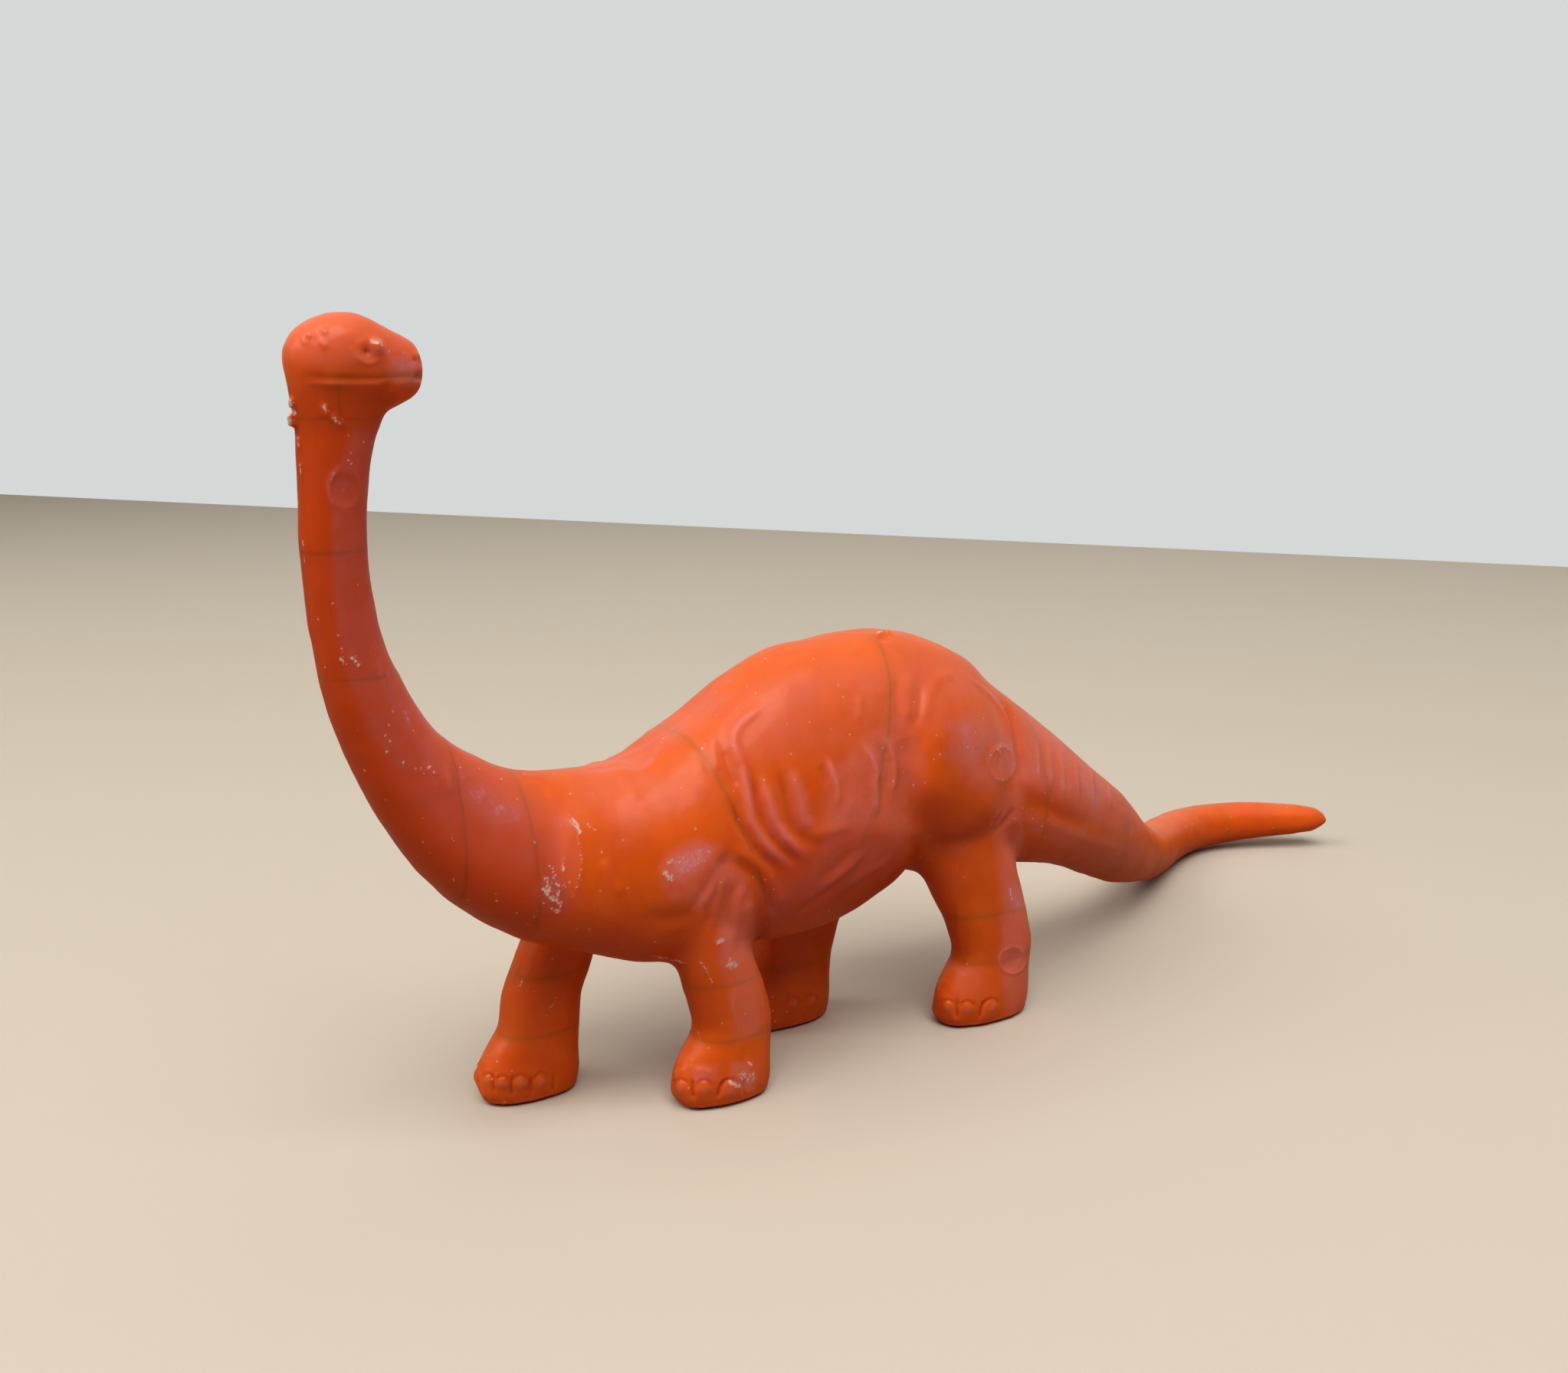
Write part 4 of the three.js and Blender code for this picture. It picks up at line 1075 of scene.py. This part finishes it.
    def cast(self, mark: Mark, tree: BVHTree) -> np.ndarray:
        """Throws a mark's path from the photograph onto the skin.

        Args:
            mark: The mark whose path is thrown.
            tree: The skin.

        Returns:
            Points on the skin, none where the path misses it.
        """
        path = np.array(mark.path, float)
        if mark.closed:
            path = np.vstack([path, path[:1]])
        if len(path) > 1:
            steps = np.linalg.norm(np.diff(path, axis=0), axis=1)
            at = np.concatenate([[0.0], np.cumsum(steps)])
            spots = np.linspace(0, at[-1], max(2, int(at[-1] / self.cast_step)))
            path = np.column_stack([np.interp(spots, at, path[:, axis]) for axis in (0, 1)])
        hits = (tree.ray_cast(Vector(VIEW.place), VIEW.ray(tuple(pixel)))[0] for pixel in path)
        return np.array([tuple(hit) for hit in hits if hit is not None]).reshape(-1, 3)

    def mirrored(self, line: np.ndarray, side: Side, tree: BVHTree) -> np.ndarray:
        """The same line on the other flank, where the other leg may stand further back.

        Args:
            line: Points on the near flank.
            side: How the mark comes back.
            tree: The skin.

        Returns:
            Points on the far flank.
        """
        other = line * (1, -1, 1) + (0, 2 * MIDDLE, 0)
        if side is not Side.BODY:
            feet = (f"{flank}_{side.name.lower()}_foot" for flank in ("left", "right"))
            left, right = (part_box(foot)[0].x for foot in feet)
            low = np.clip((self.leg_top * MM - line[:, 2]) / (self.leg_blend * MM), 0, 1)
            other[:, 0] += (right - left) * low
        return np.array([tuple(tree.find_nearest(Vector(point))[0]) for point in other])


# Division into the CAD's regions


@dataclass(frozen=True)
class Cut:
    """A flat face on which the CAD divides the moulding."""

    normal: tuple[float, float, float]
    offset: float

    def height(self, points: np.ndarray) -> np.ndarray:
        """How far points lie beyond the cut."""
        return points @ np.array(self.normal) - self.offset

    @classmethod
    def of(cls, node: str, towards: tuple[int, int, int]) -> Cut:
        """The largest flat face of a CAD region that looks one way.

        Args:
            node: Name of the region.
            towards: The way that the face looks, roughly.

        Returns:
            The face's plane.
        """
        least_facing, turn_grain, offset_grain = 0.8, 0.002, 0.02 * MM
        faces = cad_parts[node].data.polygons
        normals, centres = gather(faces, "normal", 3), gather(faces, "center", 3)
        areas = gather(faces, "area")
        facing = normals @ np.array(towards, float) > least_facing
        normals, centres, areas = normals[facing], centres[facing], areas[facing]
        offsets = (normals * centres).sum(1)
        keys = np.round(np.column_stack([normals / turn_grain, offsets / offset_grain])).astype(int)
        kinds, which = np.unique(keys, axis=0, return_inverse=True)
        which = which.ravel()
        chosen = which == np.argmax(np.bincount(which, areas, len(kinds)))
        normal = np.average(normals[chosen], axis=0, weights=areas[chosen])
        normal /= np.linalg.norm(normal)
        offset = np.average(centres[chosen] @ normal, weights=areas[chosen])
        return cls(tuple(float(value) for value in normal), float(offset))


UP, DOWN, TAILWARD, HEADWARD = (0, 0, 1), (0, 0, -1), (1, 0, 0), (-1, 0, 0)
TRUNK = ("neck_base", "chest", "shoulders", "rib_cage", "hips")
TAIL = ("tail_root", "tail_middle", "tail_sweep")
PAINTS = ("bloom", "scuff", "shine", "hollow", "painted_light_and_shade")


@dataclass
class Division:
    """Cuts the skin into one closed piece for each CAD region. Lengths are in millimetres."""

    near: float = 0.9
    tight: float = 0.004
    thinnest: float = 0.00001
    cuts: dict[str, Cut] = field(init=False)

    def __post_init__(self) -> None:
        """Reads the CAD's own planes."""
        self.cuts = {
            "chin": Cut.of("neck_upper", UP),
            "mouth": Cut.of("lower_jaw", UP),
            "hinge": Cut.of("lower_jaw", HEADWARD),
            "groin": Cut.of("left_fore_leg", UP),
            "fore_ankle": Cut.of("left_fore_foot", UP),
            "hind_ankle": Cut.of("left_hind_foot", UP),
            "neck_upper": Cut.of("neck_upper", DOWN),
            "neck_middle": Cut.of("neck_middle", DOWN),
        }
        self.cuts.update((name, Cut.of(name, TAILWARD)) for name in TRUNK + TAIL)

    def regions(self, points: np.ndarray) -> np.ndarray:
        """Name of the region that each point lies in."""
        within = {name: cut.height(points) <= 0 for name, cut in self.cuts.items()}
        names = np.full(len(points), "tail_tip", dtype=object)
        for name in (*reversed(TRUNK + TAIL), "neck_middle", "neck_upper"):
            names[within[name]] = name
        limb = within["groin"] & within["hips"]
        for side, here in (("left", points[:, 1] < MIDDLE), ("right", points[:, 1] >= MIDDLE)):
            fore = points[:, 0] < between_feet(side)
            for pair, there in (("fore", fore), ("hind", ~fore)):
                leg = limb & here & there
                names[leg] = f"{side}_{pair}_leg"
                names[leg & within[f"{pair}_ankle"]] = f"{side}_{pair}_foot"
        names[~within["chin"]] = "head"
        names[~within["chin"] & within["mouth"] & within["hinge"]] = "lower_jaw"
        return names

    def concerns(self, name: str, points: np.ndarray) -> np.ndarray:
        """Whether a cut passes through the part of the skin that each point lies in."""
        margin = self.near * MM
        groin = self.cuts["groin"].height(points)
        if name in ("mouth", "hinge"):
            return self.cuts["chin"].height(points) > -margin
        if name in TRUNK:
            return (groin > -margin) & (points[:, 2] < margin - self.cuts["neck_middle"].offset)
        if name not in ("groin", "fore_ankle", "hind_ankle"):
            return np.ones(len(points), bool)
        low = (groin < margin) & (self.cuts["hips"].height(points) < 0)
        fore = points[:, 0] < np.where(points[:, 1] < MIDDLE, between_feet("left"), between_feet("right"))
        return low & {"groin": True, "fore_ankle": fore, "hind_ankle": ~fore}[name]

    def make(self, wax: Wax) -> dict[str, bpy.types.Object]:
        """Cuts the skin, and returns each region's closed piece by its name."""
        mesh = wax.thing.data
        for name in PAINTS:
            layer = mesh.attributes.new(name, "FLOAT", "POINT")
            layer.data.foreach_set("value", wax.paint[name].astype(np.float32))
        self.divide(mesh)
        layer = mesh.attributes.new("skin_normal", "FLOAT_VECTOR", "POINT")
        layer.data.foreach_set("vector", gather(mesh.vertex_normals, "vector", 3, np.float32).ravel())
        names = self.regions(gather(mesh.polygons, "center", 3))
        pieces = {}
        for name in sorted(set(names)):
            part = sub_mesh(mesh, np.flatnonzero(names == name), name + "_skin")
            self.close(part)
            pieces[name] = lone(name + "_skin", part)
        bpy.data.objects.remove(wax.thing)
        return pieces

    def divide(self, mesh: bpy.types.Mesh) -> None:
        """Splits the skin's faces along every cut."""
        net = bmesh.new()
        net.from_mesh(mesh)
        net.faces.ensure_lookup_table()
        centres = gather(mesh.polygons, "center", 3)
        close = np.zeros(len(centres), bool)
        for cut in self.cuts.values():
            close |= np.abs(cut.height(centres)) < self.near * MM
        pool = [net.faces[int(index)] for index in np.flatnonzero(close)]
        for name, cut in self.cuts.items():
            pool = [face for face in pool if face.is_valid]
            spots = np.array([face.calc_center_median() for face in pool])
            chosen = (np.abs(cut.height(spots)) < self.near * MM) & self.concerns(name, spots)
            faces = [pool[int(index)] for index in np.flatnonzero(chosen)]
            parts = {part for face in faces for part in (*face.edges, *face.verts)}
            made = bmesh.ops.bisect_plane(
                net, geom=[*parts, *faces], dist=self.thinnest * MM,
                plane_co=Vector(cut.normal) * cut.offset, plane_no=Vector(cut.normal),
            )
            known = set(pool)
            found = (item for item in made["geom"] if isinstance(item, bmesh.types.BMFace))
            pool += [face for face in found if face not in known]
        net.to_mesh(mesh)
        net.free()
        mesh.update()

    def close(self, mesh: bpy.types.Mesh) -> None:
        """Puts flat caps on a region's open ends, and keeps the whole skin's normals."""
        net = bmesh.new()
        net.from_mesh(mesh)
        whole = np.array([vertex.co for vertex in net.verts])
        rim = [edge for edge in net.edges if edge.is_boundary]
        spots = {name: [] for name in self.cuts}
        for edge in rim:
            ends = np.array([vertex.co for vertex in edge.verts])
            gaps = {name: np.abs(cut.height(ends)).max() for name, cut in self.cuts.items()}
            spots[min(gaps, key=gaps.get)].append(edge)
        if spots["hinge"]:
            for other in ("mouth", "chin"):
                shared = self.shared_corners(rim, "hinge", other)
                if len(shared) == 2:
                    spots[other].append(net.edges.new(shared))
                    spots["hinge"].append(spots[other][-1])
        for face in net.faces:
            face.smooth = True
        for name, edges in spots.items():
            if not edges:
                continue
            made = bmesh.ops.edgeloop_fill(net, edges=edges)["faces"]
            cut = self.cuts[name]
            out = Vector(cut.normal) * (-1 if np.median(cut.height(whole)) > 0 else 1)
            for face in made:
                face.normal_update()
                if face.normal.dot(out) < 0:
                    face.normal_flip()
                face.smooth = False
            bmesh.ops.triangulate(net, faces=made)
        left = sum(edge.is_boundary for edge in net.edges)
        if left:
            LOG.warning("%s keeps %d open edges", mesh.name, left)
        net.to_mesh(mesh)
        net.free()
        self.keep_normals(mesh)

    def shared_corners(self, rim: list[bmesh.types.BMEdge], *cuts: str) -> list[bmesh.types.BMVert]:
        """Vertices of an open rim that lie on several cuts at once."""
        tight = self.tight * MM
        return [
            vertex
            for vertex in {vertex for edge in rim for vertex in edge.verts}
            if all(abs(self.cuts[name].height(np.array(vertex.co))) < tight for name in cuts)
        ]

    @staticmethod
    def keep_normals(mesh: bpy.types.Mesh) -> None:
        """Shades a piece with the whole skin's normals, so that no seam shows beside its neighbour."""
        mesh.update()
        faces = mesh.polygons
        skin = gather(mesh.attributes["skin_normal"].data, "vector", 3, np.float32)
        owners = gather(mesh.loops, "vertex_index", kind=np.int64)
        face_of = np.repeat(np.arange(len(faces)), gather(faces, "loop_total", kind=np.int64))
        smooth = gather(faces, "use_smooth", kind=bool)[face_of][:, None]
        normals = np.where(smooth, skin[owners], gather(faces, "normal", 3)[face_of])
        mesh.normals_split_custom_set(normals.tolist())
        mesh.attributes.remove(mesh.attributes["skin_normal"])


def sub_mesh(mesh: bpy.types.Mesh, chosen: np.ndarray, name: str) -> bpy.types.Mesh:
    """A mesh that holds only some faces of another, with their painted values.

    Args:
        mesh: The whole mesh.
        chosen: Indices of the faces to keep.
        name: Name of the new mesh.

    Returns:
        The new mesh.
    """
    starts = gather(mesh.polygons, "loop_start", kind=np.int64)[chosen]
    totals = gather(mesh.polygons, "loop_total", kind=np.int64)[chosen]
    owners = gather(mesh.loops, "vertex_index", kind=np.int64)
    firsts = np.concatenate([[0], np.cumsum(totals)[:-1]])
    taken = np.repeat(starts - firsts, totals) + np.arange(totals.sum())
    used, corners = np.unique(owners[taken], return_inverse=True)
    part = bpy.data.meshes.new(name)
    part.vertices.add(len(used))
    part.vertices.foreach_set("co", gather(mesh.vertices, "co", 3)[used].ravel())
    part.loops.add(len(taken))
    part.loops.foreach_set("vertex_index", corners.ravel().astype(np.int32))
    part.polygons.add(len(chosen))
    part.polygons.foreach_set("loop_start", firsts.astype(np.int32))
    part.update(calc_edges=True)
    for layer, kind, size in (*((paint, "value", 1) for paint in PAINTS), ("skin_normal", "vector", 3)):
        values = gather(mesh.attributes[layer].data, kind, size, np.float32)[used]
        copy = part.attributes.new(layer, "FLOAT" if size == 1 else "FLOAT_VECTOR", "POINT")
        copy.data.foreach_set(kind, values.ravel())
    return part


# Finishes


class Graph:
    """Short words for wiring a node tree."""

    def __init__(self, tree: bpy.types.NodeTree) -> None:
        """Takes the tree to wire."""
        self.tree = tree

    def node(self, kind: str, **settings: object) -> bpy.types.Node:
        """Adds a node with its settings."""
        made = self.tree.nodes.new(kind)
        for name, value in settings.items():
            setattr(made, name, value)
        return made

    def feed(self, socket: bpy.types.NodeSocket, value: object) -> None:
        """Links a socket to another, or sets its number or colour."""
        if isinstance(value, bpy.types.NodeSocket):
            self.tree.links.new(value, socket)
        elif isinstance(value, tuple) and len(value) == 3 and socket.type == "RGBA":
            socket.default_value = (*value, 1)
        else:
            socket.default_value = value

    def math(
        self, operation: str, first: object, second: object = 0.0, clamp: bool = False
    ) -> bpy.types.NodeSocket:
        """A math node's output."""
        made = self.node("ShaderNodeMath", operation=operation, use_clamp=clamp)
        self.feed(made.inputs[0], first)
        self.feed(made.inputs[1], second)
        return made.outputs[0]

    def scaled(self, value: object, gain: float, base: float = 0.0) -> bpy.types.NodeSocket:
        """A value times a gain, plus a base."""
        product = self.math("MULTIPLY", value, gain)
        return self.math("ADD", product, base) if base else product

    def mix(self, factor: object, first: object, second: object) -> bpy.types.NodeSocket:
        """A colour mixed from two."""
        made = self.node("ShaderNodeMix", data_type="RGBA")
        self.feed(made.inputs[0], factor)
        self.feed(made.inputs[6], first)
        self.feed(made.inputs[7], second)
        return made.outputs[2]

    def noise(
        self, vector: object, size: object, detail: float = 2.0, rough: float = 0.5
    ) -> bpy.types.NodeSocket:
        """Noise from 0 to 1 whose lumps are about size millimetres wide."""
        made = self.node("ShaderNodeTexNoise")
        self.feed(made.inputs["Vector"], vector)
        self.feed(made.inputs["Scale"], self.math("DIVIDE", 1 / MM, size))
        self.feed(made.inputs["Detail"], detail)
        self.feed(made.inputs["Roughness"], rough)
        return made.outputs[0]

    def spots(
        self, vector: object, size: object, low: float, high: float, height: float
    ) -> bpy.types.NodeSocket:
        """Round spots, one in each cell of a size in millimetres, that fade from low to high."""
        made = self.node("ShaderNodeTexVoronoi", feature="F1")
        self.feed(made.inputs["Vector"], vector)
        self.feed(made.inputs["Scale"], self.math("DIVIDE", 1 / MM, size))
        return self.ramp(made.outputs["Distance"], low, high, height, 0.0)

    def ramp(
        self, value: object, low: float, high: float, bottom: float = 0.0, top: float = 1.0
    ) -> bpy.types.NodeSocket:
        """A value's smooth rise between two levels."""
        made = self.node("ShaderNodeMapRange", interpolation_type="SMOOTHSTEP")
        for socket, number in zip(
            ("Value", "From Min", "From Max", "To Min", "To Max"), (value, low, high, bottom, top)
        ):
            self.feed(made.inputs[socket], number)
        return made.outputs[0]

    def group(self, tree: bpy.types.NodeTree, **inputs: object) -> bpy.types.Node:
        """Places a shared effect with its own values."""
        made = self.node("ShaderNodeGroup", node_tree=tree)
        for name, value in inputs.items():
            self.feed(made.inputs[name], value)
        return made


def effect(*results: str, **inputs: float) -> Callable:
    """Makes a shared node group of a function that wires it, built at its first use.

    Args:
        results: Names of the values that the effect gives.
        inputs: Usual value of each input. Every effect is also told the place.

    Returns:
        What turns the wiring function into one that gives the node group.
    """

    def wrap(wire: Callable) -> Callable:
        """Gives the builder of the effect that a function wires."""

        @functools.cache
        def build() -> bpy.types.NodeTree:
            """Opens the node group and lets the function wire it."""
            tree = bpy.data.node_groups.new(wire.__name__, "ShaderNodeTree")
            tree.interface.new_socket("Place", in_out="INPUT", socket_type="NodeSocketVector")
            for name, usual in inputs.items():
                socket = tree.interface.new_socket(name, in_out="INPUT", socket_type="NodeSocketFloat")
                socket.default_value = usual
            for name in results:
                tree.interface.new_socket(name, in_out="OUTPUT", socket_type="NodeSocketFloat")
            graph = Graph(tree)
            given = graph.node("NodeGroupInput").outputs
            wire(graph, given, graph.node("NodeGroupOutput").inputs)
            return tree

        return build

    return wrap


@effect("Amount", Size=4.0)
def mottle(graph: Graph, given: object, result: object) -> None:
    """Slow drifts of colour in poorly mixed plastic."""
    wide = graph.noise(given["Place"], given["Size"], detail=3.0, rough=0.6)
    graph.feed(result["Amount"], graph.ramp(wide, low=0.32, high=0.70))


@effect("Mask", Amount=0.0, Everywhere=0.05, Cloud=2.6, Grain=0.35)
def bloom_film(graph: Graph, given: object, result: object) -> None:
    """A thin waxy film that has come out of the plastic in clouds."""
    cloudy = graph.noise(given["Place"], given["Cloud"], detail=4.0, rough=0.62)
    clouds = graph.ramp(cloudy, low=0.34, high=0.66)
    grainy = graph.noise(given["Place"], given["Grain"], detail=3.0, rough=0.7)
    fine = graph.ramp(grainy, low=0.28, high=0.75, bottom=0.68)
    wide = graph.math("MULTIPLY", clouds, given["Everywhere"])
    local = graph.math("MULTIPLY", given["Amount"], graph.scaled(clouds, gain=0.35, base=0.65))
    both = graph.math("ADD", wide, local)
    graph.feed(result["Mask"], graph.math("MULTIPLY", both, fine, clamp=True))


@effect("Mask", "Height", Amount=0.0, Size=0.22)
def scuff_marks(graph: Graph, given: object, result: object) -> None:
    """Rubbed crumbs and short scratches where the surface was touched."""
    softness = 0.08
    grit = graph.noise(given["Place"], given["Size"], detail=4.0, rough=0.75)
    level = graph.scaled(given["Amount"], gain=-0.44, base=0.78)
    over = graph.math("DIVIDE", graph.math("SUBTRACT", grit, level), softness, clamp=True)
    mask = graph.math("MULTIPLY", over, graph.ramp(given["Amount"], low=0.02, high=0.3))
    graph.feed(result["Mask"], mask)
    graph.feed(result["Height"], graph.math("MULTIPLY", mask, grit))


@effect("Height", Size=0.30, Pits=0.9)
def moulded_grain(graph: Graph, given: object, result: object) -> None:
    """Fine unevenness that the mould left in the surface."""
    fine = graph.noise(given["Place"], given["Size"], detail=3.0, rough=0.6)
    pit = graph.spots(given["Place"], given["Pits"], low=0.0, high=0.16, height=-0.8)
    graph.feed(result["Height"], graph.math("ADD", fine, pit))


@effect("Mask", Spacing=1.1, Patch=5.0)
def dust(graph: Graph, given: object, result: object) -> None:
    """Sparse pale specks that cling to the soft plastic."""
    dot = graph.spots(given["Place"], given["Spacing"], low=0.05, high=0.12, height=1.0)
    here = graph.ramp(graph.noise(given["Place"], given["Patch"]), low=0.42, high=0.56)
    graph.feed(result["Mask"], graph.math("MULTIPLY", dot, here))


@dataclass(frozen=True)
class Rise:
    """How a painted value turns into a share of a colour: none at a low level, most at a high one."""

    low: float
    high: float
    most: float

    def of(self, graph: Graph, value: object) -> bpy.types.NodeSocket:
        """The share that a value gives."""
        return graph.ramp(value, self.low, self.high, top=self.most)


@dataclass(frozen=True)
class WaxyPlastic:
    """Finish of the moulding: saturated orange soft plastic under a thin, patchy bloom, with painted light
    and shade: lighter on top and on crests, darker underneath and in creases, and a painted sheen where the
    bloom is thickest.
    """

    name: str = "waxy_orange_plastic"
    body: Colour = (0.90, 0.126, 0.002)
    # Dark orange of poorly mixed plastic, also the colour of painted shade
    deep_and_painted_shade: Colour = (0.60, 0.054, 0.0005)
    # Colour of painted light, on top and on crests
    pale: Colour = (0.95, 0.19, 0.045)
    bloom: Colour = (0.83, 0.24, 0.235)
    # Bloom colour in painted shade, a darker copy of the bloom
    bloom_in_painted_shade: Colour = (0.60, 0.130, 0.125)
    # Painted sheen: a lighter pink laid over the thickest film
    painted_sheen: Colour = (0.86, 0.34, 0.38)
    scuff: Colour = (0.93, 0.66, 0.58)
    speck: Colour = (0.92, 0.46, 0.36)
    # Shares of painted shade, painted top light, painted crease shade and painted crest light
    shaded: Rise = Rise(-0.05, 0.95, most=0.95)
    painted_top_light_share: Rise = Rise(0.10, 0.60, most=0.35)
    painted_crease_shade: Rise = Rise(0.04, 0.9, most=0.75)
    painted_crest_light: Rise = Rise(0.12, 0.95, most=0.42)
    painted_light_on_film: Rise = Rise(-0.75, 0.15, most=1.0)
    painted_sheen_share: Rise = Rise(0.60, 1.0, most=0.55)
    mottle_size: float = 4.5
    mottle_cover: float = 0.35
    film: float = 0.04
    scuff_cover: float = 0.8
    speck_cover: float = 0.7
    roughness: float = 0.40
    mottle_roughness: float = 0.06
    film_roughness: float = 0.16
    scuff_roughness: float = 0.1
    grain: float = 0.35
    bump: float = 0.5
    bump_depth: float = 0.05
    gloss: float = 0.24
    coat: float = 0.03
    coat_shine: float = 0.9
    coat_roughness: float = 0.12
    coat_index: float = 2.2
    glow: float = 0.55
    glow_spread: tuple[float, float, float] = (1.0, 0.22, 0.06)
    glow_depth: float = 1.1

    def make(self) -> bpy.types.Material:
        """Builds the material, and returns it."""
        material = bpy.data.materials.new(self.name)
        material.use_nodes = True
        graph = Graph(material.node_tree)
        inputs = material.node_tree.nodes["Principled BSDF"].inputs
        place = graph.node("ShaderNodeTexCoord").outputs["Object"]
        bloom, scuff, shine, hollow, painted_light_and_shade = (
            graph.node("ShaderNodeAttribute", attribute_name=name).outputs["Fac"] for name in PAINTS
        )
        drift = graph.group(mottle(), Place=place, Size=self.mottle_size).outputs[0]
        film = graph.group(bloom_film(), Place=place, Amount=bloom, Everywhere=self.film).outputs[0]
        worn = graph.group(scuff_marks(), Place=place, Amount=scuff).outputs
        grain = graph.group(moulded_grain(), Place=place).outputs[0]
        specks = graph.group(dust(), Place=place).outputs[0]

        colour = self.body
        for share, other in (
            (graph.scaled(drift, self.mottle_cover), self.deep_and_painted_shade),
            # Painted shade where the skin looks down and under the painted-shade veils
            (self.shaded.of(graph, graph.scaled(painted_light_and_shade, -1.0)), self.deep_and_painted_shade),
            # Painted light where the skin looks up
            (self.painted_top_light_share.of(graph, painted_light_and_shade), self.pale),
            # Painted shade in hollows and creases, and painted light on crests
            (self.painted_crease_shade.of(graph, hollow), self.deep_and_painted_shade),
            (self.painted_crest_light.of(graph, graph.scaled(hollow, -1.0)), self.pale),
            # The film, painted darker where the skin is in painted shade
            (film, graph.mix(self.painted_light_on_film.of(graph, painted_light_and_shade), self.bloom_in_painted_shade, self.bloom)),
            # Painted sheen where the film is thickest
            (self.painted_sheen_share.of(graph, film), self.painted_sheen),
            (graph.scaled(worn["Mask"], self.scuff_cover), self.scuff),
            (graph.scaled(specks, self.speck_cover), self.speck),
        ):
            colour = graph.mix(share, colour, other)
        graph.feed(inputs["Base Color"], colour)

        rough = self.roughness
        for cover, added in (
            (drift, self.mottle_roughness), (film, self.film_roughness), (worn["Mask"], self.scuff_roughness),
        ):
            rough = graph.math("ADD", rough, graph.scaled(cover, added))
        graph.feed(inputs["Roughness"], rough)

        bump = graph.node("ShaderNodeBump")
        bump.inputs["Strength"].default_value = self.bump
        bump.inputs["Distance"].default_value = self.bump_depth * MM
        graph.feed(bump.inputs["Height"], graph.math("ADD", graph.scaled(grain, self.grain), worn["Height"]))
        graph.feed(inputs["Normal"], bump.outputs[0])
        coat = graph.math("ADD", self.coat, graph.scaled(shine, self.coat_shine), clamp=True)
        graph.feed(inputs["Coat Weight"], coat)
        for name, value in {
            "Specular IOR Level": self.gloss,
            "Coat Roughness": self.coat_roughness,
            "Coat IOR": self.coat_index,
            "Subsurface Weight": self.glow,
            "Subsurface Radius": self.glow_spread,
            "Subsurface Scale": self.glow_depth * MM,
        }.items():
            inputs[name].default_value = value
        return material


# Pieces


@dataclass
class Figure:
    """The finished moulding."""

    skin: Skin = field(default_factory=Skin)
    finish: WaxyPlastic = field(default_factory=WaxyPlastic)

    def make(self) -> None:
        """Builds the skin, dresses it and lets it stand for the CAD regions."""
        material = self.finish.make()
        pieces = Division().make(self.skin.make())
        for name, piece in pieces.items():
            piece.data.materials.append(material)
            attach(piece, BODY)
            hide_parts(name)
            LOG.info("%s: %d faces", piece.name, len(piece.data.polygons))


def main() -> None:
    """Builds the camera, the studio and the figure."""
    logging.basicConfig(level=logging.INFO, format="%(name)s: %(message)s")
    bpy.context.scene.view_settings.view_transform = "Standard"
    VIEW.make_camera()
    Studio().make()
    Figure().make()


if __name__ == "__main__":
    main()
